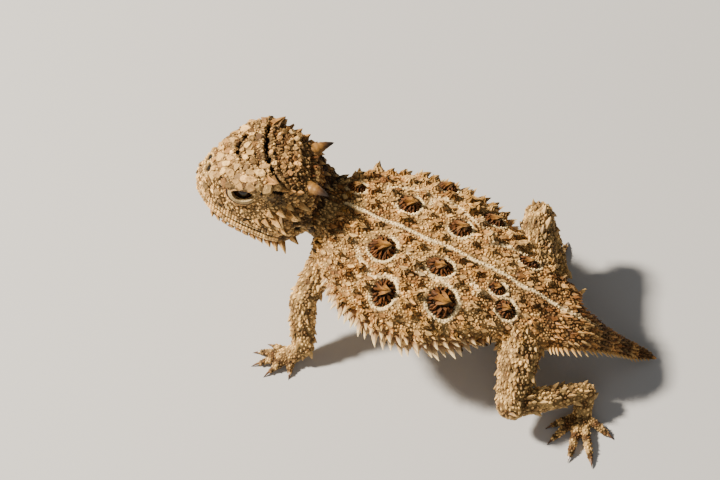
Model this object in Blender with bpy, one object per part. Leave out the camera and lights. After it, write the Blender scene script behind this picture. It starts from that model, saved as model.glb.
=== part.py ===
"""Young Texas horned lizard, a still life-size model standing on straight forelegs.

The head points along -X, the tail along +X, the animal's left side along -Y
and +Z is up. Sizes below are in millimetres; the meshes are written in metres.
The floor is z = 0 and the origin is the bottom centre of the whole animal.
"""

import math
import random

import bmesh
import bpy
from mathutils import Matrix, Vector
from mathutils.bvhtree import BVHTree

MM = 0.001
GAP = 0.3
UP = Vector((0.0, 0.0, 1.0))
TAILWARD = Vector((1.0, 0.0, 0.0))

# Any spine: depth of its foot, and place and width of a bent one's middle
SPINE_SINK = 0.4
SPINE_WAIST_PLACE = 0.45
SPINE_WAIST_WIDTH = 0.62
SPINE_WAIST_BEND = 0.06
SPINE_TIP_BEND = 0.25

# Round end of any limb: how far each ring stands out and how wide it is, in radii
LIMB_END_RINGS = ((0.55, 0.84), (0.9, 0.44))
AXIS_STEP = 0.02
SIDES = {"left": 1, "right": -1}


def smooth_curve(knots):
    """A smooth function through (position, value) pairs, flat beyond both ends."""
    xs = [knot[0] for knot in knots]
    ys = [knot[1] for knot in knots]
    slopes = []
    for i in range(len(xs)):
        lo, hi = max(i - 1, 0), min(i + 1, len(xs) - 1)
        slopes.append((ys[hi] - ys[lo]) / (xs[hi] - xs[lo]))

    def value(x):
        if x <= xs[0]:
            return ys[0]
        if x >= xs[-1]:
            return ys[-1]
        i = max(j for j in range(len(xs) - 1) if xs[j] <= x)
        span = xs[i + 1] - xs[i]
        t = (x - xs[i]) / span
        level = (2 * t ** 3 - 3 * t ** 2 + 1) * ys[i] + (3 * t ** 2 - 2 * t ** 3) * ys[i + 1]
        lead = (t ** 3 - 2 * t ** 2 + t) * slopes[i] + (t ** 3 - t ** 2) * slopes[i + 1]
        return level + span * lead

    return value


def smooth_path(points):
    """A function from 0..1 to a point on a smooth curve through the given points."""
    steps = [i / (len(points) - 1) for i in range(len(points))]
    axes = [smooth_curve([(s, p[k]) for s, p in zip(steps, points)]) for k in range(3)]
    return lambda t: Vector([axis(t) for axis in axes])


# Trunk: heights of back, fringe line and belly, and half width, along X
TORSO_FRONT = -19.6
TORSO_REAR = 14.5
BACK = smooth_curve([(-20, 17.9), (-17, 17.7), (-12, 17.2), (-5, 16.5), (2.6, 15.4), (9, 13.8),
                     (13.5, 12.2), (17, 10.9)])
FRINGE = smooth_curve([(-20, 14.4), (-13, 13.0), (-5, 11.5), (5, 9.9), (9, 9.8), (14.5, 9.4)])
BELLY = smooth_curve([(-20, 9.6), (-17, 8.6), (-12, 7.2), (-5, 6.2), (3, 5.9), (9, 6.0),
                      (14.5, 6.1)])
HALF_WIDTH = smooth_curve([(-20, 5.4), (-18.4, 7.0), (-16.6, 9.3), (-13, 12.1), (-9.5, 13.6),
                           (-5.6, 14.1), (-1.3, 13.4), (2.0, 11.6), (5.0, 9.2), (7.5, 7.4),
                           (10, 6.4), (14.5, 5.3)])
RIGHT_DRAWN_IN = smooth_curve([(-18, 0), (-13, 1.3), (-10, 1.7), (-5, 1.7), (0, 1.4), (5, 0.2),
                               (8, 0)])
FRINGE_FRONT = -14.5
FRINGE_REAR = 7.0
FRINGE_STEP = 1.5
FRINGE_ROWS = ({"raise": -0.1, "length": 2.0, "radius": 0.44, "droop": -0.35},
               {"raise": 0.9, "length": 1.5, "radius": 0.4, "droop": -0.05})
FRINGE_FOOT_DEPTH = 0.25
FRINGE_SINK = 0.6
FRINGE_BEND = 0.4
FRINGE_END_SIZE = 0.6
FRINGE_END_GROWTH = 0.16
FRINGE_SIDES = 5
SECTION_POWER = 2.3
END_CROWDING = 0.35
TORSO_STATIONS = 20
TORSO_SIDES = 26

# Tail: back line and half width from the trunk's end to the tip
TAIL_FRONT = TORSO_REAR + GAP
TAIL_BACK = [(TAIL_FRONT, 0.0, 11.8), (17.1, 0.5, 10.6), (19.6, 1.9, 7.9), (21.8, 3.6, 4.8),
             (24.1, 5.0, 2.3), (26.3, 5.7, 1.1)]
TAIL_HALF_WIDTH = smooth_curve([(0, 5.1), (0.2, 4.3), (0.4, 2.9), (0.6, 1.9), (0.8, 1.2), (1, 0.5)])
TAIL_HALF_DEPTH = smooth_curve([(0, 2.8), (0.2, 2.3), (0.4, 1.7), (0.6, 1.25), (0.8, 0.9),
                                (1, 0.45)])
TAIL_SPLIT = 0.5
TAIL_EASE = 0.2
TAIL_STEP = 0.03
TAIL_SPINE_FOOT = 0.1
TAIL_SPINE_LEAN = 0.45
TAIL_SPINE_TAPER = 0.25
TAIL_RIDGE_LEAN = 0.6
TAIL_SIDES = 12
TAIL_RINGS = 8
TAIL_SPINES = ({"t": (0.07, 0.45), "count": 8, "length": (1.6, 1.2), "radius": 0.48},
               {"t": (0.56, 0.9), "count": 6, "length": (0.95, 0.45), "radius": 0.36})
TAIL_RIDGES = ({"t": (0.1, 0.44), "count": 4, "height": (0.9, 0.7), "radius": 0.48},
               {"t": (0.58, 0.84), "count": 4, "height": (0.5, 0.35), "radius": 0.36})
RIDGE_ANGLES = ((0.19, 0.47, 0.79), (0.31, 0.68))

# Back: rosettes of pointed scales in the dark spots, then single spines between them
ROSETTES = [(-9.7, 4.35), (-1.6, 3.65), (-7.0, 10.3), (0.7, 8.3), (7.6, 3.9), (-16.4, 5.6)]
ROSETTE_HEIGHT = 1.55
ROSETTE_RADIUS = 0.9
ROSETTE_RING = 1.15
ROSETTE_RING_COUNT = 4
ROSETTE_RING_HEIGHT = 0.93
ROSETTE_RING_RADIUS = 0.5
ROSETTE_ROOM = 1.65
BACK_TUBERCLES = [(-14.2, 2.3), (-5.4, 2.2), (-5.6, 5.6), (3.0, 2.4), (11.0, 2.2)]
TUBERCLE_HEIGHT = 1.24
TUBERCLE_RADIUS = 0.72
TUBERCLE_ROOM = 0.7
BACK_SPACING = 2.17
BACK_TRIES = 4000
BACK_END_MARGIN = 0.55
BACK_ANGLES = (0.06 * math.pi, 0.94 * math.pi)
BACK_SPINE_HEIGHT = (0.7, 1.2)
BACK_SPINE_RADIUS = (0.5, 0.66)
BACK_LEAN = 0.7
BACK_SEED = 21
MIDLINE_CLEAR = 0.5

# Head: its own frame has x forward from the nape, y to its left, z up
HEAD_PLACE = Vector((-23.0, -0.6, 15.8))
HEAD_YAW = math.radians(21.0)
HEAD_NOSE_UP = math.radians(10.0)
HEAD_REAR = -0.6
SNOUT = 15.1
CROWN = smooth_curve([(-0.6, 6.6), (1, 7.7), (2.6, 8.5), (4.2, 8.85), (6, 8.9), (8, 8.9), (10, 8.2),
                      (12, 7.0), (13.4, 5.5), (14.3, 4.2), (14.9, 2.8), (15.1, 1.9)])
CHIN = smooth_curve([(-0.6, -1.9), (1, -2.5), (3, -2.9), (6, -3.1), (9, -3.0), (11, -2.7),
                     (13, -2.1), (14.2, -1.4), (14.9, -0.6), (15.1, 0.2)])
BROW_WIDTH = smooth_curve([(-0.6, 3.9), (1, 4.6), (3, 5.3), (4.6, 5.6), (6, 6.1), (9, 5.7),
                           (11, 4.6), (13, 2.9), (14.2, 1.8), (14.9, 1.0), (15.1, 0.5)])
BROW_HEIGHT = smooth_curve([(-0.6, 5.9), (1, 6.8), (3, 7.7), (4.6, 7.8), (6, 8.5), (9, 7.8),
                            (11, 6.7), (13, 5.2), (14.2, 3.9), (14.9, 2.6), (15.1, 1.8)])
CHEEK_WIDTH = smooth_curve([(-0.6, 5.2), (1, 6.0), (3, 6.5), (6, 6.2), (9, 5.4), (11, 4.7),
                            (13, 3.6), (14.2, 2.4), (14.9, 1.3), (15.1, 0.6)])
JAW_WIDTH = smooth_curve([(-0.6, 4.4), (1, 5.6), (3, 6.3), (6, 6.0), (9, 5.2), (11, 4.5),
                          (13, 3.3), (14.2, 2.1), (14.9, 1.1), (15.1, 0.5)])
CHEEK_HEIGHT = smooth_curve([(-0.6, 2.4), (3, 2.2), (9, 1.7), (13, 1.6), (15.1, 1.3)])
JAW_HEIGHT = smooth_curve([(-0.6, -1.1), (3, -2.1), (9, -1.9), (13, -1.1), (15.1, 0.4)])
MOUTH_HEIGHT = smooth_curve([(2, -1.2), (6, -0.8), (10, -0.4), (13, 0.1), (15.5, 0.6)])
MOUTH_CORNER = 3.4
MOUTH_DEPTH = 0.5
MOUTH_STEPS = 14
HEAD_SIDES = 28
HEAD_STATIONS = (0.2, 1.0, 2.0, 3.2, 4.3, 5.0, 5.8, 6.8, 7.8, 8.8, 9.8, 10.8, 11.8, 12.7, 13.5, 14.2,
                 14.65, 14.95)
FURROW = smooth_curve([(-5.0, 6.5), (-3.3, 7.0), (-1.5, 7.0), (0.0, 6.9), (1.8, 6.35), (3.0, 5.9),
                       (4.1, 5.3), (5.2, 4.4)])
FURROW_REACH = (-4.9, 5.0)
FURROW_DEPTH = 0.42
FURROW_STEPS = 7
SOCKET_DEPTH = 0.7
SOCKET_LENGTH = 2.6
EYE_CENTRE = (9.1, 3.5, 4.6)
EYE_RADIUS = 1.5
LID_THICKNESS = 0.55
LID_STRETCH = (1.12, 1.0, 0.94)
LID_OPENING = (1.4, 0.7)
LID_FLARE = ((0.0, 0.8), (4.0, 1.25))
LID_POINT = 1.4
LID_SIDES = 14
NOSTRIL = (14.3, 0.85, 4.3)
NOSTRIL_RADII = (0.45, 0.28, 0.33)
EAR = (0.9, 6.1, 0.6)
EAR_RADII = (0.5, 0.5, 0.85)
HORN_ROOT = (0.5, 3.2, 6.4)
HORN_TIP = (-2.2, 4.8, 7.2)
HORN_RADIUS = 1.2
HORN_BEND = 0.5
HORN_SIDES = 12
HORN_SINK = 1.0

# Spines of the head's left half: root, tip and root radius
BROW_SPINE = ((6.0, 5.6, 8.0), (5.2, 6.1, 9.6), 0.95)
TEMPLE_SPINES = [((4.2, 5.5, 7.4), (3.6, 6.2, 8.3), 0.55), ((2.9, 5.1, 7.2), (2.2, 5.8, 8.0), 0.55),
                 ((1.7, 4.7, 6.9), (0.9, 5.3, 7.6), 0.5),
                 ((5.0, 6.0, 1.8), (4.6, 7.3, 1.3), 0.6), ((3.9, 6.3, 2.3), (3.4, 7.9, 2.2), 1.0),
                 ((2.0, 6.1, 3.7), (1.2, 7.5, 3.9), 1.05), ((0.8, 5.3, 4.8), (-0.4, 6.3, 5.2), 0.55)]
JAW_SPINES = {"from": (12.2, 4.0, -1.4), "to": (3.6, 6.3, -2.3), "count": 7,
              "length": (0.65, 1.25), "radius": (0.36, 0.52)}
JAW_AIM = Vector((-0.35, 0.8, -0.55)).normalized()
JAW_CORNER_SPINES = [((2.6, 6.1, -2.2), (1.9, 7.6, -3.2), 0.58),
                     ((1.4, 5.6, -1.2), (0.2, 6.9, -1.5), 0.5)]
NAPE_SPINE = ((0.2, 0.0, 7.2), (-0.8, 0.0, 7.85), 0.5)
BROW_SCUTES = [(7.4, 5.9, 8.2), (8.7, 5.6, 7.8), (10.0, 5.0, 7.2), (11.2, 4.3, 6.5), (12.4, 3.2, 5.7)]
CROWN_SCUTES = [(8.5, 1.0, 8.8), (7.7, 2.9, 8.8), (9.8, 2.2, 8.3), (10.0, 0.0, 8.2), (11.2, 1.1, 7.6),
                (11.3, 3.0, 7.2), (12.5, 1.6, 6.7), (4.5, 1.3, 8.8), (3.6, 3.2, 8.4), (2.4, 1.8, 8.3)]
HEAD_SPINE_BEND = 0.3
SCUTE_HEIGHT = 0.32
SCUTE_RADIUS = 1.0
BROW_SCUTE_HEIGHT = 0.5
BROW_SCUTE_RADIUS = 0.6

# Legs: joints of the left side; the right side mirrors the foreleg
FORELEG_LEFT = {"shoulder": (-17.3, -5.8, 12.6), "elbow": (-18.9, -10.6, 7.4),
                "wrist": (-17.3, -13.9, 2.0)}
FORELEG_RIGHT = {"shoulder": (-17.3, 5.8, 12.6), "elbow": (-17.4, 10.8, 7.2),
                 "wrist": (-18.6, 13.6, 2.0)}
FINGERS_LEFT = [(-21.6, -14.2), (-22.7, -15.9), (-22.1, -17.7), (-20.2, -18.4), (-17.7, -17.4)]
FINGERS_RIGHT = [(-22.6, 12.6), (-23.9, 14.4), (-23.6, 16.3), (-21.8, 17.6), (-18.7, 17.4)]
HINDLEG_LEFT = {"hip": (10.6, -3.6, 9.4), "knee": (13.2, -13.2, 4.9), "ankle": (20.8, -5.6, 3.2)}
HINDLEG_RIGHT = {"hip": (9.0, 3.6, 9.5), "knee": (5.2, 14.0, 11.0), "ankle": (9.3, 12.3, 2.6)}
TOES_LEFT = [(18.3, -10.6), (19.2, -12.7), (22.3, -14.2), (25.2, -13.9), (25.5, -8.9)]
TOES_RIGHT = [(5.4, 13.4), (3.0, 15.2), (2.2, 17.6), (3.3, 19.8), (7.4, 18.9)]
UPPER_ARM_RADII = (2.3, 2.0, 1.85)
FOREARM_RADII = (1.8, 1.75, 1.45)
THIGH_RADII = (3.1, 2.7, 2.0)
SHANK_RADII = (1.8, 1.7, 1.3)
LIMB_SIDES = 10
LIMB_SPINE_HEIGHT = (0.65, 1.05)
LIMB_SPINE_RADIUS = (0.44, 0.56)
LIMB_SPINE_REACH = (0.22, 0.92)
LIMB_SPINE_LEAN = 0.7
LIMB_SPINE_SWEEP = 1.15
GOLDEN_TURN = 0.618
LIMB_SPINE_COUNT = {"upper_arm": 8, "forearm": 5, "thigh": 12, "shank": 8}
NECK_SPINES = [(-21.0, 0.6), (-20.9, 3.2), (-21.4, -2.2), (-20.4, -4.2)]
NECK_SPINE_HEIGHT = 1.0
NECK_SPINE_RADIUS = 0.45
NECK_RINGS = 4
NECK_PINCH = 0.08
RAY_TOP = 40.0
KNUCKLE_HEIGHT = 0.75
KNUCKLE_SHARE = 0.45
PALM_WIDTHS = (1.0, 1.02, 0.8)
PALM_FLATTEN = 0.8
DIGIT_START = 0.12
DIGIT_BEND = 0.55
WRIST_WIDTH = 1.05
DIGIT_TIP_HEIGHT = 0.3
DIGIT_RADII = (0.85, 0.68, 0.5)
CLAW_LENGTH = 1.1
CLAW_RADIUS = 0.36
CLAW_BEND = 0.3
CLAW_LIFT = 0.15


def material(name, colour, roughness):
    """Principled BSDF finish of one kind of part."""
    surface = bpy.data.materials.new(name)
    surface.use_nodes = True
    shader = surface.node_tree.nodes["Principled BSDF"]
    shader.inputs["Base Color"].default_value = (*colour, 1.0)
    shader.inputs["Roughness"].default_value = roughness
    shader.inputs["Metallic"].default_value = 0.0
    return surface


def new_object(name, verts, faces):
    """Closed mesh object from points in millimetres, its faces turned outward."""
    mesh = bpy.data.meshes.new(name)
    mesh.from_pydata([Vector(v) * MM for v in verts], [], faces)
    bm = bmesh.new()
    bm.from_mesh(mesh)
    bmesh.ops.recalc_face_normals(bm, faces=bm.faces)
    bm.to_mesh(mesh)
    bm.free()
    obj = bpy.data.objects.new(name, mesh)
    bpy.context.scene.collection.objects.link(obj)
    return obj


def loft(name, rings):
    """Closed skin over rings of equal length, with a flat face at each end."""
    count = len(rings[0])
    verts = [point for ring in rings for point in ring]
    faces = [tuple(range(count))[::-1]]
    for i in range(len(rings) - 1):
        for j in range(count):
            k = (j + 1) % count
            faces.append((i * count + j, i * count + k, (i + 1) * count + k, (i + 1) * count + j))
    faces.append(tuple(range((len(rings) - 1) * count, len(rings) * count)))
    return new_object(name, verts, faces)


def tube(name, path, radii, sides=LIMB_SIDES, stations=8, flatten=1.0, grow=0.0, hint=UP):
    """Limb with round ends along a smooth path, its radius eased between the given ones.

    flatten below 1 makes the section lower across the hint direction.
    """
    along = smooth_path(path)
    radius = smooth_curve([(i / (len(radii) - 1), r + grow) for i, r in enumerate(radii)])
    steps = [i / stations for i in range(stations + 1)]
    rings = []
    for t in steps:
        ahead = (along(min(t + AXIS_STEP, 1)) - along(max(t - AXIS_STEP, 0))).normalized()
        side = ahead.cross(hint).normalized()
        rise = side.cross(ahead)
        if t in (0, 1):
            sign = -1 if t == 0 else 1
            caps = [(along(t) + ahead * sign * radius(t) * out * flatten, wide)
                    for out, wide in LIMB_END_RINGS]
            slices = caps[::-1] + [(along(t), 1.0)] if t == 0 else [(along(t), 1.0)] + caps
        else:
            slices = [(along(t), 1.0)]
        for centre, scale in slices:
            reach = radius(t) * scale
            rings.append([centre + side * reach * math.cos(a) + rise * reach * flatten * math.sin(a)
                          for a in (2 * math.pi * j / sides for j in range(sides))])
    return loft(name, rings)


def spine(name, root, direction, length, radius, sides=5, bend=None, sink=SPINE_SINK):
    """Tapered spine whose foot lies the given depth under its root; a bent one has a middle."""
    direction = Vector(direction).normalized()
    side = direction.cross(UP if abs(direction.z) < 0.9 else TAILWARD).normalized()
    rise = side.cross(direction)
    root = Vector(root)
    levels = [(root - direction * sink, radius)]
    tip = root + direction * length
    if bend is not None:
        waist = root + direction * length * SPINE_WAIST_PLACE + bend * length * SPINE_WAIST_BEND
        levels.append((waist, radius * SPINE_WAIST_WIDTH))
        tip += bend * length * SPINE_TIP_BEND
    verts = []
    for centre, reach in levels:
        for j in range(sides):
            a = 2 * math.pi * j / sides
            verts.append(centre + side * reach * math.cos(a) + rise * reach * math.sin(a))
    verts.append(tip)
    faces = [tuple(range(sides))]
    top = sides * (len(levels) - 1)
    for j in range(sides):
        k = (j + 1) % sides
        if top:
            faces.append((j, k, top + k, top + j))
        faces.append((top + j, top + k, 2 * sides if top else sides))
    return new_object(name, verts, faces)


def ball(name, centre, radii, frame=None, rows=8, sides=14):
    """Closed ellipsoid; frame turns and moves it from its own axes."""
    frame = frame if frame is not None else Matrix.Identity(4)
    centre = Vector(centre)
    rings = []
    for i in range(1, rows):
        lat = math.pi * i / rows
        ring = []
        for j in range(sides):
            a = 2 * math.pi * j / sides
            offset = Vector((radii[0] * math.sin(lat) * math.cos(a), radii[1] * math.cos(lat),
                             radii[2] * math.sin(lat) * math.sin(a)))
            ring.append(frame @ (centre + offset))
        rings.append(ring)
    return loft(name, rings)


def remove(objects):
    """Take helper objects and their meshes out of the file."""
    for obj in list(objects):
        mesh = obj.data
        bpy.data.objects.remove(obj)
        bpy.data.meshes.remove(mesh)


def boolean(target, tools, operation, solver="MANIFOLD"):
    """Join the tools to the target, or cut them from it, in one applied Boolean.

    The exact solver leaves edges with four faces on the flat ends of the tail and limbs.
    """
    group = bpy.data.collections.new("tools")
    bpy.context.scene.collection.children.link(group)
    for tool in tools:
        group.objects.link(tool)
    modifier = target.modifiers.new("join", "BOOLEAN")
    modifier.operation = operation
    modifier.operand_type = "COLLECTION"
    modifier.collection = group
    modifier.solver = solver
    bpy.context.view_layer.update()
    shape = target.evaluated_get(bpy.context.evaluated_depsgraph_get())
    result = bpy.data.meshes.new_from_object(shape)
    target.modifiers.clear()
    old = target.data
    target.data = result
    bpy.data.meshes.remove(old)
    remove(tools)
    bpy.data.collections.remove(group)
    keep_largest(target)


def keep_largest(obj):
    """Keep only the largest closed surface of the mesh."""
    bm = bmesh.new()
    bm.from_mesh(obj.data)
    bmesh.ops.remove_doubles(bm, verts=bm.verts, dist=0.002 * MM)
    bmesh.ops.dissolve_degenerate(bm, edges=bm.edges, dist=0.002 * MM)
    left = set(bm.faces)
    shells = []
    while left:
        stack = [left.pop()]
        shell = []
        while stack:
            face = stack.pop()
            shell.append(face)
            for edge in face.edges:
                for other in edge.link_faces:
                    if other in left:
                        left.remove(other)
                        stack.append(other)
        shells.append(shell)
    shells.sort(key=lambda faces: sum(face.calc_area() for face in faces))
    drop = [face for shell in shells[:-1] for face in shell]
    bmesh.ops.delete(bm, geom=drop, context="FACES")
    loose = [v for v in bm.verts if not v.link_faces]
    bmesh.ops.delete(bm, geom=loose, context="VERTS")
    bm.to_mesh(obj.data)
    bm.free()


def trim_below_floor(obj):
    """Cut the mesh flat at the floor."""
    bm = bmesh.new()
    bm.from_mesh(obj.data)
    geometry = bm.verts[:] + bm.edges[:] + bm.faces[:]
    bmesh.ops.bisect_plane(bm, geom=geometry, plane_co=(0, 0, 0), plane_no=(0, 0, -1),
                           clear_outer=True)
    bmesh.ops.holes_fill(bm, edges=[edge for edge in bm.edges if edge.is_boundary], sides=0)
    bmesh.ops.recalc_face_normals(bm, faces=bm.faces)
    bm.to_mesh(obj.data)
    bm.free()


def flank(x, side):
    """Half width of the trunk at station x, on the left for a side above 0."""
    return HALF_WIDTH(x) - (RIGHT_DRAWN_IN(x) if side < 0 else 0.0)


def torso_point(x, angle, grow=0.0):
    """Point of the trunk at station x; angle 0 is the left flank, 90 degrees the back."""
    side, rise = math.cos(angle), math.sin(angle)
    y = -math.copysign(abs(side) ** (2 / SECTION_POWER), side) * (flank(x, side) + grow)
    reach = BACK(x) - FRINGE(x) if rise > 0 else FRINGE(x) - BELLY(x)
    z = FRINGE(x) + math.copysign(abs(rise) ** (2 / SECTION_POWER), rise) * (reach + grow)
    return Vector((x, y, z))


def torso_skin(name, grow=0.0):
    """The trunk without its spines; grow makes a copy that stands off by that much."""
    rings = []
    front, rear = TORSO_FRONT - grow, TORSO_REAR + grow
    for i in range(TORSO_STATIONS + 1):
        t = i / TORSO_STATIONS
        eased = 0.5 - 0.5 * math.cos(math.pi * t)
        x = front + (rear - front) * (END_CROWDING * eased + (1 - END_CROWDING) * t)
        rings.append([torso_point(x, 2 * math.pi * j / TORSO_SIDES, grow)
                      for j in range(TORSO_SIDES)])
    return loft(name, rings)


def fringe_point(x, side):
    """Point of the fringe line at station x on one side."""
    return Vector((x, -side * flank(x, side), FRINGE(x)))


def torso_normal(x, angle):
    """Outward direction of the trunk's surface."""
    step = 0.02
    along = torso_point(x + step, angle) - torso_point(x - step, angle)
    around = torso_point(x, angle + step) - torso_point(x, angle - step)
    normal = along.cross(around).normalized()
    outward = torso_point(x, angle) - Vector((x, 0.0, FRINGE(x)))
    return normal if normal.dot(outward) > 0 else -normal


def back_angle(x, y):
    """Angle on the trunk's section whose back half passes over the place y."""
    side = 1 if y < 0 else -1
    reach = min(abs(y) / flank(x, side), 1.0) ** (SECTION_POWER / 2)
    return math.acos(side * reach)


class Thorns:
    """Collects the spines of one node, each clear of all other nodes by the gap."""

    def __init__(self, others, seed):
        self.trees = [surface_tree(other) for other in others]
        self.draw = random.Random(seed)
        self.made = []

    def clear(self, root, direction, length, radius):
        """Whether a spine from root would stay off the other nodes and the floor."""
        for part in (0.0, 0.25, 0.5, 0.75, 1.0):
            point = root + direction * length * part
            reach = radius * (1 - part) + 1.4 * GAP
            if point.z < reach:
                return False
            if any(tree.find_nearest(point, reach)[0] is not None for tree in self.trees):
                return False
        return True

    def add(self, root, direction, length, radius, sides=4, bend=None, sink=SPINE_SINK):
        """Add one spine where there is room for it."""
        direction = direction.normalized()
        if self.clear(root, direction, length, radius):
            self.made.append(spine("thorn", root, direction, length, radius, sides, bend, sink))

    def between(self, limits):
        """A seeded value between two limits."""
        return self.draw.uniform(*limits)


def surface_tree(obj):
    """Search tree over an object's faces, in millimetres."""
    verts = [v.co / MM for v in obj.data.vertices]
    return BVHTree.FromPolygons(verts, [tuple(face.vertices) for face in obj.data.polygons])


def fringe_spines(thorns):
    """Two rows of tapered spines along each flank."""
    for side in SIDES.values():
        x = FRINGE_FRONT
        while x < FRINGE_REAR:
            slope = flank(x + 0.5, side) - flank(x - 0.5, side)
            along = Vector((1.0, -side * slope, 0.0)).normalized()
            out = Vector((along.y, -along.x, 0.0)) * side
            advance = FRINGE_STEP * along.x
            for i, row in enumerate(FRINGE_ROWS):
                place = x + 0.5 * i * advance
                root = fringe_point(place, side) + UP * row["raise"] - out * FRINGE_FOOT_DEPTH
                from_end = min(x - FRINGE_FRONT, FRINGE_REAR - x)
                size = min(1.0, FRINGE_END_SIZE + FRINGE_END_GROWTH * from_end)
                length = row["length"] * size * thorns.between((0.85, 1.15))
                aim = out + UP * row["droop"] + TAILWARD * thorns.between((0.0, 0.35))
                thorns.add(root, aim, length, row["radius"], FRINGE_SIDES, -UP * FRINGE_BEND,
                           FRINGE_SINK)
            x += advance


def back_spines(thorns):
    """Rosettes in the dark spots and seeded single spines over the rest of the back."""
    lean = TAILWARD * BACK_LEAN
    taken = []
    for x, y in ROSETTES:
        for side in SIDES.values():
            angle = back_angle(x, -side * y)
            root, normal = torso_point(x, angle), torso_normal(x, angle)
            taken.append((root, ROSETTE_ROOM))
            thorns.add(root, normal + lean, ROSETTE_HEIGHT, ROSETTE_RADIUS, 5)
            for j in range(ROSETTE_RING_COUNT):
                turn = 2 * math.pi * (j + 0.5) / ROSETTE_RING_COUNT
                px, py = x + ROSETTE_RING * math.cos(turn), y + ROSETTE_RING * math.sin(turn)
                place = back_angle(px, -side * py)
                thorns.add(torso_point(px, place), torso_normal(px, place) + lean,
                           ROSETTE_RING_HEIGHT, ROSETTE_RING_RADIUS)
    for x, y in BACK_TUBERCLES:
        for side in SIDES.values():
            angle = back_angle(x, -side * y)
            root = torso_point(x, angle)
            taken.append((root, TUBERCLE_ROOM))
            thorns.add(root, torso_normal(x, angle) + lean, TUBERCLE_HEIGHT, TUBERCLE_RADIUS)
    for _ in range(BACK_TRIES):
        x = thorns.between((TORSO_FRONT + BACK_END_MARGIN, TORSO_REAR - BACK_END_MARGIN))
        angle = thorns.between(BACK_ANGLES)
        root = torso_point(x, angle)
        if abs(root.y) < MIDLINE_CLEAR:
            continue
        if any((root - other).length < room + 0.5 * BACK_SPACING for other, room in taken):
            continue
        taken.append((root, 0.5 * BACK_SPACING))
        thorns.add(root, torso_normal(x, angle) + lean, thorns.between(BACK_SPINE_HEIGHT),
                   thorns.between(BACK_SPINE_RADIUS), 5)


def neck_spines(thorns, neck):
    """Small spines over the nape."""
    tree = surface_tree(neck)
    lean = TAILWARD * BACK_LEAN
    for x, y in NECK_SPINES:
        root, normal, _, _ = tree.ray_cast(Vector((x, y, RAY_TOP)), -UP)
        if root is not None:
            thorns.add(root, normal + lean, NECK_SPINE_HEIGHT, NECK_SPINE_RADIUS)


def head_spines(thorns, head):
    """Brow, temple, jaw and nape spines, and the raised scutes of the crown."""
    frame = head_frame()
    turn = frame.to_3x3()
    tree = surface_tree(head)
    singles = [BROW_SPINE, *TEMPLE_SPINES, *JAW_CORNER_SPINES]
    count = JAW_SPINES["count"]
    for i in range(count):
        t = i / (count - 1)
        root = Vector(JAW_SPINES["from"]).lerp(Vector(JAW_SPINES["to"]), t)
        low, high = JAW_SPINES["length"]
        aim = JAW_AIM * (low + (high - low) * t)
        wide = JAW_SPINES["radius"][0] * (1 - t) + JAW_SPINES["radius"][1] * t
        singles.append((tuple(root), tuple(root + aim), wide))
    for side in SIDES.values():
        for root, tip, radius in singles:
            near = tree.find_nearest(frame @ mirrored(side, root))[0]
            end = frame @ mirrored(side, tip)
            thorns.add(near, end - near, (end - near).length, radius, 5, -UP * HEAD_SPINE_BEND)
        for place in BROW_SCUTES:
            near, normal, _, _ = tree.find_nearest(frame @ mirrored(side, place))
            thorns.add(near, normal, BROW_SCUTE_HEIGHT, BROW_SCUTE_RADIUS)
        for place in CROWN_SCUTES:
            near, normal, _, _ = tree.find_nearest(frame @ mirrored(side, place))
            if place[1] > 0 or side > 0:
                thorns.add(near, normal, SCUTE_HEIGHT, SCUTE_RADIUS, 6, sink=0.3)
    root, tip, radius = NAPE_SPINE
    near = tree.find_nearest(frame @ Vector(root))[0]
    aim = Vector(tip) - Vector(root)
    thorns.add(near, turn @ aim, aim.length, radius)


def tail_spines(thorns, length):
    """Spines along both edges of one length of the tail and low ridges over its top."""
    edge, ridge = TAIL_SPINES[length], TAIL_RIDGES[length]
    for i in range(edge["count"]):
        part = i / (edge["count"] - 1)
        t = edge["t"][0] + (edge["t"][1] - edge["t"][0]) * part
        centre, ahead, side, rise = tail_frame(t)
        reach = edge["length"][0] + (edge["length"][1] - edge["length"][0]) * part
        for sign in (-1, 1):
            root = centre + side * sign * (TAIL_HALF_WIDTH(t) - TAIL_SPINE_FOOT) \
                + rise * TAIL_SPINE_FOOT
            aim = side * sign + ahead * TAIL_SPINE_LEAN + rise * TAIL_SPINE_FOOT
            thorns.add(root, aim, reach, edge["radius"] * (1 - TAIL_SPINE_TAPER * part), 4, sink=0.35)
    for i in range(ridge["count"]):
        part = i / (ridge["count"] - 1)
        t = ridge["t"][0] + (ridge["t"][1] - ridge["t"][0]) * part
        centre, ahead, side, rise = tail_frame(t)
        height = ridge["height"][0] + (ridge["height"][1] - ridge["height"][0]) * part
        for angle in RIDGE_ANGLES[i % 2]:
            a = math.pi * angle
            root = centre + side * TAIL_HALF_WIDTH(t) * math.cos(a) \
                + rise * TAIL_HALF_DEPTH(t) * math.sin(a)
            aim = side * math.cos(a) + rise * math.sin(a) + ahead * TAIL_RIDGE_LEAN
            thorns.add(root, aim, height, ridge["radius"], 4, sink=0.3)


def limb_spines(thorns, start, end, radii, count):
    """Spiny scales over the upper and rear faces of one limb length, leaning towards its end."""
    start, end = Vector(start), Vector(end)
    ahead = (end - start).normalized()
    side = ahead.cross(UP).normalized()
    rise = side.cross(ahead)
    radius = smooth_curve([(i / (len(radii) - 1), r) for i, r in enumerate(radii)])
    low, high = LIMB_SPINE_REACH
    for i in range(count):
        t = low + (high - low) * (i + 0.5) / count
        a = math.pi * (0.5 + LIMB_SPINE_SWEEP * ((i * GOLDEN_TURN) % 1.0 - 0.5))
        outward = side * math.cos(a) + rise * math.sin(a)
        root = start.lerp(end, t) + outward * radius(t)
        thorns.add(root, outward + ahead * LIMB_SPINE_LEAN, thorns.between(LIMB_SPINE_HEIGHT),
                   thorns.between(LIMB_SPINE_RADIUS), 4)


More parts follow.
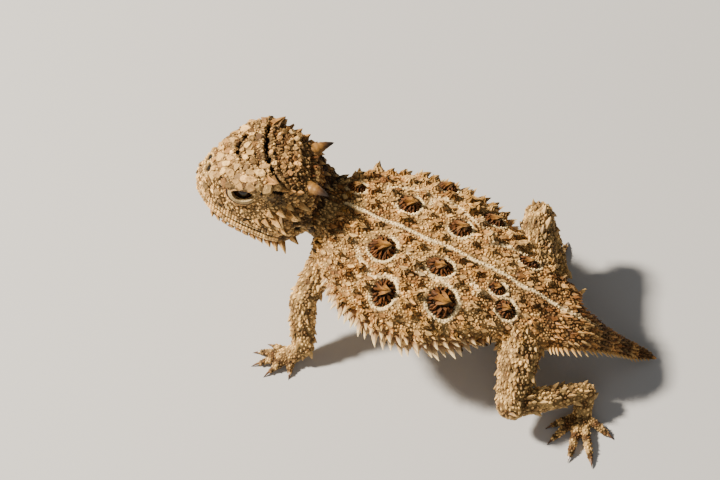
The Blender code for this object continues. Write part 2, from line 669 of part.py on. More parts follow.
def head_frame():
    """Turn and place of the head in the body's frame."""
    ahead = Vector((-math.cos(HEAD_YAW), -math.sin(HEAD_YAW), 0.0))
    left = UP.cross(ahead)
    forward = ahead * math.cos(HEAD_NOSE_UP) + UP * math.sin(HEAD_NOSE_UP)
    rise = forward.cross(left)
    frame = Matrix((forward, left, rise)).transposed().to_4x4()
    frame.translation = HEAD_PLACE
    return frame


def head_ring(x, grow=0.0):
    """Section of the head at station x in its own frame, from the crown round the left side."""
    brow = (BROW_WIDTH(x), BROW_HEIGHT(x))
    cheek = (CHEEK_WIDTH(x), CHEEK_HEIGHT(x))
    jaw = (JAW_WIDTH(x), JAW_HEIGHT(x))
    hollow = SOCKET_DEPTH * math.exp(-((x - EYE_CENTRE[0]) / SOCKET_LENGTH) ** 2)
    temple = (0.5 * (brow[0] + cheek[0]) - hollow, 0.5 * (brow[1] + cheek[1]))
    keys = [(0.0, CROWN(x)), (0.55 * brow[0], 0.75 * CROWN(x) + 0.25 * brow[1]), brow, temple,
            cheek, jaw, (0.6 * jaw[0], 0.7 * CHIN(x) + 0.3 * jaw[1]), (0.0, CHIN(x))]
    middle = 0.5 * (CROWN(x) + CHIN(x))
    half = smooth_path([(y, z, 0.0) for y, z in keys])
    steps = HEAD_SIDES // 2
    left = [half(j / steps) for j in range(steps + 1)]
    points = [(p.x, p.y) for p in left] + [(-p.x, p.y) for p in left[-2:0:-1]]
    ring = []
    for y, z in points:
        length = math.hypot(y, z - middle)
        ring.append(Vector((x, y * (1 + grow / length), middle + (z - middle) * (1 + grow / length))))
    return ring


def head_skin(name, grow=0.0):
    """The head without spines, lids or mouth."""
    frame = head_frame()
    stations = [HEAD_REAR - grow, *HEAD_STATIONS, SNOUT + grow]
    return loft(name, [[frame @ p for p in head_ring(x, grow)] for x in stations])


def head_side(x, z):
    """Half width of the head at station x and height z, in its own frame."""
    half = [p for p in head_ring(x) if p.y >= 0]
    for upper, lower in zip(half, half[1:]):
        if upper.z >= z >= lower.z:
            t = (upper.z - z) / (upper.z - lower.z)
            return upper.lerp(lower, t).y
    return 0.0


def mouth_groove():
    """Solid that cuts the closed mouth's line round the snout, from corner to corner."""
    frame = head_frame()
    left = []
    for i in range(MOUTH_STEPS + 1):
        part = math.sin(0.5 * math.pi * i / MOUTH_STEPS)
        x = MOUTH_CORNER + (SNOUT - 0.1 - MOUTH_CORNER) * part
        left.append(Vector((x, head_side(x, MOUTH_HEIGHT(x)), MOUTH_HEIGHT(x))))
    right = [Vector((p.x, -p.y, p.z)) for p in left[::-1]]
    route = [frame @ p for p in left + right]
    return tube("mouth", route, (MOUTH_DEPTH, MOUTH_DEPTH), sides=4, stations=MOUTH_STEPS + 3,
                flatten=0.5, hint=frame.to_3x3() @ UP)


def head_top(x, y):
    """Height of the crown at station x and side y, in the head's own frame."""
    half = head_ring(x)[:HEAD_SIDES // 2 + 1]
    for inner, outer in zip(half, half[1:]):
        if inner.y <= abs(y) <= outer.y:
            return inner.lerp(outer, (abs(y) - inner.y) / (outer.y - inner.y)).z
    return max(p.z for p in half)


def crown_furrow():
    """Solid that cuts the deep furrow across the crown, from one brow spine to the other."""
    frame = head_frame()
    route = []
    for i in range(FURROW_STEPS + 1):
        y = FURROW_REACH[0] + (FURROW_REACH[1] - FURROW_REACH[0]) * i / FURROW_STEPS
        route.append(frame @ Vector((FURROW(y), y, head_top(FURROW(y), y))))
    return tube("furrow", route, (FURROW_DEPTH, FURROW_DEPTH), sides=4, stations=FURROW_STEPS)


def mirrored(side, place):
    """A place of the left half of the head, mirrored for the right one."""
    return Vector((place[0], place[1] * side, place[2]))


def lid_opening(side):
    """Almond prism from the middle of the eye outward."""
    frame = head_frame()
    centre = mirrored(side, EYE_CENTRE)
    half_length, half_height = LID_OPENING
    rings = []
    for depth, scale in LID_FLARE:
        ring = []
        for j in range(LID_SIDES):
            a = 2 * math.pi * j / LID_SIDES
            x = half_length * scale * math.cos(a)
            z = half_height * scale * math.copysign(abs(math.sin(a)) ** LID_POINT, math.sin(a))
            ring.append(frame @ (centre + Vector((x, depth * side, z))))
        rings.append(ring)
    return loft("opening", rings)


def build_head():
    """Head with lids round the eyes, nostrils, mouth line and ear pits."""
    frame = head_frame()
    head = head_skin("head")
    shell = EYE_RADIUS + GAP + LID_THICKNESS
    radii = [shell * stretch for stretch in LID_STRETCH]
    lids = [ball("lids", mirrored(side, EYE_CENTRE), radii, frame, 8, 16) for side in SIDES.values()]
    boolean(head, lids, "UNION")
    cuts = [mouth_groove(), crown_furrow()]
    for side in SIDES.values():
        hollow = EYE_RADIUS + GAP
        cuts.append(ball("socket", mirrored(side, EYE_CENTRE), (hollow,) * 3, frame, 8, 14))
        cuts.append(lid_opening(side))
        cuts.append(ball("nostril", mirrored(side, NOSTRIL), NOSTRIL_RADII, frame, 6, 8))
        cuts.append(ball("ear", mirrored(side, EAR), EAR_RADII, frame, 6, 10))
    boolean(head, cuts, "DIFFERENCE")
    return head


def build_eye(name, side):
    """Eyeball, a gap inside its lids."""
    return ball(name, mirrored(side, EYE_CENTRE), (EYE_RADIUS,) * 3, head_frame(), 9, 14)


def build_horn(name, side):
    """Short conical horn on the rear corner of the skull."""
    frame = head_frame()
    root, tip = frame @ mirrored(side, HORN_ROOT), frame @ mirrored(side, HORN_TIP)
    horn = spine(name, root, tip - root, (tip - root).length, HORN_RADIUS, HORN_SIDES,
                 UP * HORN_BEND, HORN_SINK)
    boolean(horn, [head_skin("cut", GAP), neck_skin("cut", GAP)], "DIFFERENCE")
    return horn


def neck_rings():
    """Rings from the trunk's front face to the head's rear face."""
    frame = head_frame()
    rear = [torso_point(TORSO_FRONT, math.pi / 2 - 2 * math.pi * j / HEAD_SIDES)
            for j in range(HEAD_SIDES)]
    front = [frame @ p for p in head_ring(HEAD_REAR)]
    return rear, front


def neck_skin(name, grow=0.0):
    """Short neck, whose two faces stand a gap off the trunk and the head."""
    rear, front = neck_rings()
    ahead = head_frame().to_3x3() @ Vector((1.0, 0.0, 0.0))
    rear = [p + Vector((grow - GAP, 0.0, 0.0)) for p in rear]
    front = [p + ahead * (grow - GAP) for p in front]
    rings = []
    for i in range(NECK_RINGS + 1):
        t = i / NECK_RINGS
        pinch = 1 - NECK_PINCH * math.sin(math.pi * t)
        ring = [a.lerp(b, t) for a, b in zip(rear, front)]
        centre = sum(ring, Vector()) / len(ring)
        rings.append([centre + (p - centre) * (pinch + grow / (p - centre).length) for p in ring])
    return loft(name, rings)


def tail_frame(t):
    """Centre, ahead, side and rise of the tail at 0..1 along its back line."""
    back = smooth_path(TAIL_BACK)
    ahead = (back(min(t + TAIL_STEP, 1)) - back(max(t - TAIL_STEP, 0))).normalized()
    ahead = TAILWARD.lerp(ahead, min(1.0, t / TAIL_EASE)).normalized()
    side = ahead.cross(UP).normalized()
    rise = side.cross(ahead)
    return back(t) - rise * TAIL_HALF_DEPTH(t), ahead, side, rise


def tail_ring(t, shift=0.0):
    """Section of the tail, moved along the tail by shift."""
    centre, ahead, side, rise = tail_frame(t)
    ring = []
    for j in range(TAIL_SIDES):
        a = 2 * math.pi * j / TAIL_SIDES
        ring.append(centre + ahead * shift + side * TAIL_HALF_WIDTH(t) * math.cos(a)
                    + rise * TAIL_HALF_DEPTH(t) * math.sin(a))
    return ring


def build_tail(name, start, end):
    """One length of the tail."""
    shift = GAP if start > 0 else 0.0
    rings = []
    for i in range(TAIL_RINGS + 1):
        t = start + (end - start) * i / TAIL_RINGS
        rings.append(tail_ring(t, shift if i == 0 else 0.0))
    return loft(name, rings)


def build_hand(name, wrist, tips, radius):
    """Flat palm and five clawed digits resting on the floor."""
    wrist = Vector(wrist)
    ends = [Vector((x, y, DIGIT_TIP_HEIGHT)) for x, y in tips]
    knuckle = wrist.lerp(sum(ends, Vector()) / len(ends), KNUCKLE_SHARE)
    knuckle.z = KNUCKLE_HEIGHT
    palm = tube(name, [wrist, wrist.lerp(knuckle, 0.5) - UP * 0.1, knuckle],
                [radius * width for width in PALM_WIDTHS], sides=8, stations=3,
                flatten=PALM_FLATTEN)
    digits = []
    for end in ends:
        root = knuckle.lerp(wrist, 0.25).lerp(end, DIGIT_START)
        bend = root.lerp(end, DIGIT_BEND)
        root.z = bend.z = KNUCKLE_HEIGHT
        digits.append(tube("digit", [root, bend, end], DIGIT_RADII, sides=5, stations=3))
        ahead = (end - bend).normalized()
        claw_root = end + ahead * 0.1 + UP * CLAW_LIFT
        digits.append(spine("claw", claw_root, ahead, CLAW_LENGTH, CLAW_RADIUS, 5, -UP * CLAW_BEND))
    boolean(palm, digits, "UNION", "EXACT")
    trim_below_floor(palm)
    return palm


def limb_segment(name, start, end, radii, parents):
    """One limb length, cut to stand a gap off the parts it grows from."""
    segment = tube(name, [start, start.lerp(end, 0.5), end], radii)
    boolean(segment, parents, "DIFFERENCE")
    return segment


def build_leg(side, kind, joints, tips, radii, names):
    """Three nodes of one leg, from the body to the claws."""
    first, second, third = [Vector(joints[key]) for key in joints]
    upper_name, lower_name, foot_name = [f"{name}_{side}" for name in names]
    body = [torso_skin("cut", GAP)]
    if kind == "fore":
        body.append(neck_skin("cut", GAP))
    upper = limb_segment(upper_name, first, second, radii[0], body)
    grown = tube("cut", [first, first.lerp(second, 0.5), second], radii[0], grow=GAP)
    lower = limb_segment(lower_name, second, third, radii[1], [grown])
    foot = build_hand(foot_name, third, tips, radii[1][-1] * WRIST_WIDTH)
    sleeve = tube("cut", [second, second.lerp(third, 0.5), third], radii[1], grow=GAP)
    boolean(foot, [sleeve], "DIFFERENCE", "EXACT")
    return upper, lower, foot


def centre_on_floor(objects):
    """Move every node so that the bottom centre of the whole box is the origin."""
    points = [v.co for obj in objects for v in obj.data.vertices]
    low = Vector([min(p[k] for p in points) for k in range(3)])
    high = Vector([max(p[k] for p in points) for k in range(3)])
    shift = Vector((-(low.x + high.x) / 2, -(low.y + high.y) / 2, -low.z))
    for obj in objects:
        obj.data.transform(Matrix.Translation(shift))
    return shift


def finish(node, surface):
    """Give a node its material and smooth shading."""
    node.data.materials.clear()
    node.data.materials.append(surface)
    node.data.shade_smooth()


def grow_spines(nodes):
    """Set the spines on every node that carries them, each clear of the others."""
    by_name = {node.name: node for node in nodes}
    legs = []
    for names, radii, joints in ((("upper_arm", "forearm"), (UPPER_ARM_RADII, FOREARM_RADII),
                                  (FORELEG_LEFT, FORELEG_RIGHT)),
                                 (("thigh", "shank"), (THIGH_RADII, SHANK_RADII),
                                  (HINDLEG_LEFT, HINDLEG_RIGHT))):
        for side, places in zip(SIDES, joints):
            points = list(places.values())
            for i, name in enumerate(names):
                legs.append((f"{name}_{side}", points[i], points[i + 1], radii[i],
                             LIMB_SPINE_COUNT[name]))
    jobs = [("head", lambda thorns: head_spines(thorns, by_name["head"])),
            ("torso", fringe_spines), ("torso", back_spines),
            ("neck", lambda thorns: neck_spines(thorns, by_name["neck"])),
            ("tail_base", lambda thorns: tail_spines(thorns, 0)),
            ("tail_tip", lambda thorns: tail_spines(thorns, 1))]
    for name, start, end, radii, count in legs:
        jobs.append((name, lambda thorns, s=start, e=end, r=radii, c=count:
                     limb_spines(thorns, s, e, r, c)))
    for i, (name, grow) in enumerate(jobs):
        thorns = Thorns([node for node in nodes if node.name != name], BACK_SEED + i)
        grow(thorns)
        boolean(by_name[name], thorns.made, "UNION")


def main():
    """Build every node of the animal."""
    for obj in list(bpy.data.objects):
        bpy.data.objects.remove(obj)
    skin = material("sandy_skin", (0.50, 0.33, 0.17), 0.7)
    horn = material("horn", (0.36, 0.20, 0.09), 0.45)
    eye_finish = material("dark_eye", (0.02, 0.012, 0.008), 0.1)

    torso = torso_skin("torso")
    head = build_head()
    horns = [build_horn(f"horn_{side}", sign) for side, sign in SIDES.items()]
    nodes = [torso, head, *horns, neck_skin("neck"), build_tail("tail_base", 0.0, TAIL_SPLIT),
             build_tail("tail_tip", TAIL_SPLIT, 1.0)]
    arm_names = ("upper_arm", "forearm", "hand")
    leg_names = ("thigh", "shank", "foot")
    arm_radii = (UPPER_ARM_RADII, FOREARM_RADII)
    leg_radii = (THIGH_RADII, SHANK_RADII)
    nodes += build_leg("left", "fore", FORELEG_LEFT, FINGERS_LEFT, arm_radii, arm_names)
    nodes += build_leg("right", "fore", FORELEG_RIGHT, FINGERS_RIGHT, arm_radii, arm_names)
    nodes += build_leg("left", "hind", HINDLEG_LEFT, TOES_LEFT, leg_radii, leg_names)
    nodes += build_leg("right", "hind", HINDLEG_RIGHT, TOES_RIGHT, leg_radii, leg_names)
    eyes = [build_eye(f"eye_{side}", sign) for side, sign in SIDES.items()]
    grow_spines(nodes)
    for node in nodes:
        finish(node, horn if node.name.startswith("horn") else skin)
    for node in eyes:
        finish(node, eye_finish)
    return centre_on_floor(nodes + eyes)


SHIFT = main()
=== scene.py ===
"""Young horned lizard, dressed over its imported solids.

Shapes are worked out in millimetres in the maker's own frame: the head points
along -X, the tail along +X, the animal's left side lies at -Y and the floor is
z = 0. They take the frame's own shift, and become metres, when a mesh is made.
"""

import logging
import math
from collections.abc import Callable
from dataclasses import dataclass, field
from enum import Enum, IntEnum

import bpy
import numpy as np
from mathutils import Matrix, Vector
from mathutils.bvhtree import BVHTree
from mathutils.kdtree import KDTree


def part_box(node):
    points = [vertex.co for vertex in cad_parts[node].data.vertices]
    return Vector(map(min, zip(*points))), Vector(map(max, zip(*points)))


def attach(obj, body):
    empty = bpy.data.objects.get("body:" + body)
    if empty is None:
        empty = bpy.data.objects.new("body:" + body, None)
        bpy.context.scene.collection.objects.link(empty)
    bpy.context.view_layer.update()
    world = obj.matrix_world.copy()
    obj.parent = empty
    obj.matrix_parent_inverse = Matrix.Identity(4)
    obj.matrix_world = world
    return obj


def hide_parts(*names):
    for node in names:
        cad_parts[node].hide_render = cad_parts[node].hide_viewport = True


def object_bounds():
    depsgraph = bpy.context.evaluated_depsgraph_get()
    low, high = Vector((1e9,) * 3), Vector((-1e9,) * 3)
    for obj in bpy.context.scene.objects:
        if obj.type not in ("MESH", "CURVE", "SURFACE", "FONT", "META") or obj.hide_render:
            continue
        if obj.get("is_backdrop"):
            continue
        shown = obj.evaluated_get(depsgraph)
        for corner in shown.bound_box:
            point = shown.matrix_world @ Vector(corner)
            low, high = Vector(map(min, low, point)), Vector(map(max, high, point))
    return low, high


Array = np.ndarray
Pair = tuple[float, float]
Point = tuple[float, float, float]

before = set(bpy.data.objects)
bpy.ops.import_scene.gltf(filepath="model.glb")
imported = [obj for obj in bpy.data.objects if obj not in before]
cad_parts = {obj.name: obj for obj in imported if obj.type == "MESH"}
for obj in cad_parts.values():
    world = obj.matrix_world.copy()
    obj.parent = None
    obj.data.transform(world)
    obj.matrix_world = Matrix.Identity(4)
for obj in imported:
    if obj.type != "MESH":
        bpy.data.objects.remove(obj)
CAD_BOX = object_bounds()

MM = 0.001
UP = np.array((0.0, 0.0, 1.0))
TAILWARD = np.array((1.0, 0.0, 0.0))
MIDLINE = -0.15
PATCH = 0.003
LIGHTNESS = np.array((0.3, 0.59, 0.11))
CORNERS = 96
BODY = "root"
log = logging.getLogger("horned_lizard")


def unit(vectors: Array) -> Array:
    """Vectors of length one along the last axis."""
    return vectors / np.maximum(np.linalg.norm(vectors, axis=-1, keepdims=True), 1e-9)


def colour(red: int, green: int, blue: int) -> Array:
    """A display colour from 0 to 255 as linear light."""
    display = np.array((red, green, blue)) / 255
    return np.where(display < 0.04045, display / 12.92, ((display + 0.055) / 1.055) ** 2.4)


def tint_field(red: int, green: int, blue: int) -> Array:
    """A dataclass field that starts as a display colour."""
    return field(default_factory=lambda: colour(red, green, blue))


def ease(value: Array, low: float, high: float) -> Array:
    """Smooth step from 0 at low to 1 at high, which may lie either way round."""
    t = np.clip((value - low) / (high - low), 0, 1)
    return t * t * (3 - 2 * t)


def bell(distance: Array, width: float = 1.0) -> Array:
    """Bell curve that is one at a distance of nothing."""
    return np.exp(-(distance / width) ** 2)


def blend(base: Array, other: Array, share: Array | float) -> Array:
    """Colours moved towards another colour by a share from 0 to 1, one for each or for all."""
    return base + (other - base) * np.clip(share, 0, 1)[..., None]


def washes(tint: Array, *layers: tuple[Array, Array | float]) -> Array:
    """Colours after several layers, laid on one by one.

    Args:
        tint: Colours at the start.
        layers: A colour and its share for each layer.

    Returns:
        The colours after the last layer.
    """
    for other, share in layers:
        tint = blend(tint, other, share)
    return tint


def mesh_values(items: bpy.types.bpy_prop_collection, name: str, width: int, kind: type) -> Array:
    """One property of every item of a mesh.

    Args:
        items: Vertices or loops.
        name: The property.
        width: Numbers that it has.
        kind: Their type.

    Returns:
        One row for each item.
    """
    flat = np.zeros(len(items) * width, kind)
    items.foreach_get(name, flat)
    return flat.reshape(-1, width)


def off_midline(place: Array) -> Array:
    """Distance of places to the line down the middle of the back, seen from above."""
    return np.abs(place[:, 1] - MIDLINE)


def drawn_in(ring: Array, share: float) -> Array:
    """A ring of points shrunk towards its middle, to a share of its size."""
    return ring.mean(0) + (ring - ring.mean(0)) * share


def full_turn(count: int) -> Array:
    """That many angles at even steps round a circle."""
    return np.linspace(0, 2 * math.pi, count, endpoint=False)


def walls(rows: int, sides: int) -> Array:
    """Faces between rings whose corners are numbered ring by ring.

    Args:
        rows: Number of rings.
        sides: Corners of each ring.

    Returns:
        Rows of four corners.
    """
    i, j = np.meshgrid(np.arange(rows - 1) * sides, np.arange(sides), indexing="ij")
    k = (j + 1) % sides
    return np.stack((i + j, i + k, i + sides + k, i + sides + j), axis=-1).reshape(-1, 4)


def fan(first: int, sides: int, point: int) -> Array:
    """Triangles between a ring, whose corners are numbered from the first on, and a point."""
    j = np.arange(sides)
    return np.column_stack((first + j, first + (j + 1) % sides, np.full(sides, point)))


def search_tree(places: Array) -> KDTree:
    """A tree that finds the nearest of some places.

    Args:
        places: Rows of coordinates.

    Returns:
        The tree, which gives a place's row.
    """
    tree = KDTree(len(places))
    for i, place in enumerate(places):
        tree.insert(place, i)
    tree.balance()
    return tree


def paint_cleft_shade(tint: Array, share: float) -> Array:
    """Colours with painted shade of the clefts between scales: darkened to a share, save where they are
    pale.
    """
    light = tint @ LIGHTNESS
    return tint * (share + (0.9 - share) * ease(light, 0.5, 0.72))[..., None]


def mottle(place: Array, size: float, seed: int) -> Array:
    """Smooth blotches anywhere in space.

    Args:
        place: Points in millimetres.
        size: Rough width of a blotch in millimetres.
        seed: Picks one pattern.

    Returns:
        A value from 0 to 1 for each point.
    """
    draw = np.random.default_rng(seed)
    total = np.zeros(len(place))
    for _ in range(10):
        way = unit(draw.normal(size=3))
        turn = math.pi / (size * draw.uniform(0.6, 1.7))
        total += np.sin(place @ way * turn + draw.uniform(0, 2 * math.pi))
    return 0.5 + 0.5 * np.tanh(total / 2.4)


@dataclass(frozen=True)
class Profile:
    """Smooth curve through knots of place and value, flat beyond both ends."""

    knots: tuple[Pair, ...]

    def __call__(self, x: Array | float) -> Array:
        """Value of the curve at one or many places.

        Args:
            x: One or many places.

        Returns:
            The value at each.
        """
        xs, ys = np.array(self.knots, float).T
        last = len(xs) - 1
        low = np.maximum(np.arange(last + 1) - 1, 0)
        high = np.minimum(np.arange(last + 1) + 1, last)
        slopes = (ys[high] - ys[low]) / (xs[high] - xs[low])
        x = np.clip(x, xs[0], xs[-1])
        i = np.clip(np.searchsorted(xs, x, side="right") - 1, 0, last - 1)
        span = xs[i + 1] - xs[i]
        t = (x - xs[i]) / span
        level = (2 * t ** 3 - 3 * t ** 2 + 1) * ys[i] + (3 * t ** 2 - 2 * t ** 3) * ys[i + 1]
        lead = (t ** 3 - 2 * t ** 2 + t) * slopes[i] + (t ** 3 - t ** 2) * slopes[i + 1]
        return level + span * lead


def route(points: Array, t: Array) -> Array:
    """Points at shares t from 0 to 1 of a smooth curve through the given points.

    Args:
        points: Points that the curve runs through at even shares.
        t: One or many shares.

    Returns:
        The points, in rows where there are many.
    """
    steps = np.linspace(0, 1, len(points))
    axes = [Profile(tuple(zip(steps, points[:, k])))(t) for k in range(points.shape[1])]
    return np.stack(axes, axis=-1)


class Region(IntEnum):
    """Which kind of body length a place belongs to."""

    TRUNK = 0
    HEAD = 1
    NECK = 2
    TAIL = 3
    ARM = 4
    LEG = 5
    PALM = 6
    DIGIT = 7


@dataclass
class Part:
    """One length of the body: its closed loft, and the axis its skin is laid out by."""

    name: str
    region: Region
    rings: Array
    axis: Array
    rise: Array
    tile: Point = (0.0, 0.0, 1.0)

    def locate(self, place: Array) -> tuple[Array, Array, Array]:
        """Where points lie on this part.

        Args:
            place: Points in millimetres.

        Returns:
            The share along the axis, the share round it from underneath, and the axis's
            own direction there.
        """
        count = len(self.axis) - 1
        best = np.full(len(place), np.inf)
        along = np.zeros(len(place))
        lie = np.zeros((len(place), 3))
        out = np.zeros((len(place), 3))
        for i in range(count):
            way = self.axis[i + 1] - self.axis[i]
            t = (place - self.axis[i]) @ way / (way @ way)
            t = np.clip(t, -9 if i == 0 else 0, 9 if i == count - 1 else 1)
            away = place - self.axis[i] - t[:, None] * way
            gap = np.linalg.norm(away, axis=1)
            near = gap < best
            best[near] = gap[near]
            along[near] = (i + t[near]) / count
            lie[near] = unit(way)
            out[near] = away[near]
        side = unit(np.cross(lie, self.rise))
        rise = np.cross(side, lie)
        turn = np.arctan2((out * side).sum(1), (out * rise).sum(1))
        return along, turn / (2 * math.pi) + 0.5, lie

    def lay_out(self, place: Array, normal: Array) -> Array:
        """Shares along and round the part, spread over its round ends, before its tile.

        Args:
            place: Points in millimetres.
            normal: The skin's direction at each.

        Returns:
            Share round and share along for each, both from 0 to 1.
        """
        along, around, lie = self.locate(place)
        lengthwise = (along + 0.15 * (normal * lie).sum(1) + 0.18) / 1.36
        return np.stack((around, np.clip(lengthwise, 0, 1)), axis=1)

    def on_tile(self, shares: Array) -> Array:
        """The shares moved to this part's own square of the unwrap."""
        left, bottom, size = self.tile
        return np.array((left, bottom)) + (0.1 + 0.8 * shares) * size


def tube(points: list[Array], radii: tuple[float, ...], sides: int, stations: int,
         flatten: float = 1.0, inset: float = 0.0) -> Array:
    """Rings of a limb with round ends.

    Args:
        points: Places that the limb's axis runs through.
        radii: Radii at even steps from start to end.
        sides: Corners of each ring.
        stations: Rings along the limb.
        flatten: Height of a section over its width.
        inset: How far the surface lies under the radii.

    Returns:
        An array of rings, corners and coordinates.
    """
    steps = np.linspace(0, 1, stations + 1)
    path = np.array(points, float)
    centre = route(path, steps)
    ahead = unit(route(path, np.minimum(steps + 0.02, 1)) - route(path, np.maximum(steps - 0.02, 0)))
    knots = tuple((i / (len(radii) - 1), r - inset) for i, r in enumerate(radii))
    reach = Profile(knots)(steps)
    caps = np.array([(0.98, 0.2), (0.9, 0.44), (0.74, 0.68), (0.5, 0.87), (0.26, 0.965)])
    front = [(centre[0] - ahead[0] * reach[0] * flatten * b, ahead[0], reach[0] * s) for b, s in caps]
    rear = [(centre[-1] + ahead[-1] * reach[-1] * flatten * b, ahead[-1], reach[-1] * s)
            for b, s in caps[::-1]]
    slices = [*front, *zip(centre, ahead, reach), *rear]
    turn = full_turn(sides)[:, None]
    rings = []
    for middle, way, wide in slices:
        side = unit(np.cross(way, UP))
        rise = np.cross(side, way)
        rings.append(middle + wide * (side * np.cos(turn) + rise * flatten * np.sin(turn)))
    return np.array(rings)


class Side(IntEnum):
    """The animal's two sides; its value turns left places into that side's."""

    LEFT = 1
    RIGHT = -1

    @property
    def word(self) -> str:
        """Name of the side as the solids have it."""
        return self.name.lower()


@dataclass
class Trunk:
    """Flat, wide body with its widest line low on the flank."""

    front: float = -19.6
    rear: float = 14.5
    power: float = 2.3
    inset: float = 0.14
    stations: int = 90
    back: Profile = Profile(((-20, 17.9), (-17, 17.7), (-12, 17.2), (-5, 16.5), (2.6, 15.4),
                             (9, 13.8), (13.5, 12.2), (17, 10.9)))
    edge: Profile = Profile(((-20, 14.4), (-13, 13.0), (-5, 11.5), (5, 9.9), (9, 9.8), (14.5, 9.4)))
    belly: Profile = Profile(((-20, 9.6), (-17, 8.6), (-12, 7.2), (-5, 6.2), (3, 5.9), (9, 6.0),
                              (14.5, 6.1)))
    half_width: Profile = Profile(((-20, 5.4), (-18.4, 7.0), (-16.6, 9.3), (-13, 12.1),
                                   (-9.5, 13.6), (-5.6, 14.1), (-1.3, 13.4), (2.0, 11.6),
                                   (5.0, 9.2), (7.5, 7.4), (10, 6.4), (14.5, 5.3)))
    right_drawn_in: Profile = Profile(((-18, 0), (-13, 1.3), (-10, 1.7), (-5, 1.7), (0, 1.4),
                                       (5, 0.2), (8, 0)))

    def flank(self, x: Array, side: Array | float) -> Array:
        """Half width at station x, on the left for a side above 0."""
        return self.half_width(x) - np.where(np.asarray(side) < 0, self.right_drawn_in(x), 0)

    def point(self, x: Array, angle: Array, inset: float = 0.0) -> Array:
        """Places on the trunk: angle 0 is the left flank and a quarter turn the back.

        Args:
            x: Station of each place.
            angle: Turn of each place round its section.
            inset: How far it lies under the surface.

        Returns:
            The places.
        """
        x, angle = np.broadcast_arrays(np.asarray(x, float), angle)
        across, rise = np.cos(angle), np.sin(angle)
        bulge = 2 / self.power
        y = -np.sign(across) * np.abs(across) ** bulge * (self.flank(x, across) - inset)
        reach = np.where(rise > 0, self.back(x) - self.edge(x), self.edge(x) - self.belly(x))
        z = self.edge(x) + np.sign(rise) * np.abs(rise) ** bulge * (reach - inset)
        return np.stack((x, y, z), axis=-1)

    def over(self, x: Array, y: Array) -> Array:
        """Places on the back above the given x and y."""
        share = np.clip(np.abs(y) / self.flank(x, -y), 0, 1) ** (0.5 * self.power)
        return self.point(x, np.arccos(-np.sign(y) * share))

    def edge_point(self, x: float, side: Side) -> Array:
        """Place of the widest line on one side."""
        return np.array((x, -side * float(self.flank(x, side)), float(self.edge(x))))

    def part(self) -> Part:
        """The trunk's loft, round at neither end because the neck and tail run into it.

        Returns:
            The trunk's part.
        """
        x = np.linspace(self.front, self.rear, self.stations)[:, None]
        turn = full_turn(CORNERS)[None, :]
        axis = np.array([(v, 0.0, float(self.edge(v))) for v in (self.front, self.rear)])
        return Part("trunk", Region.TRUNK, self.point(x, turn, self.inset), axis, UP)


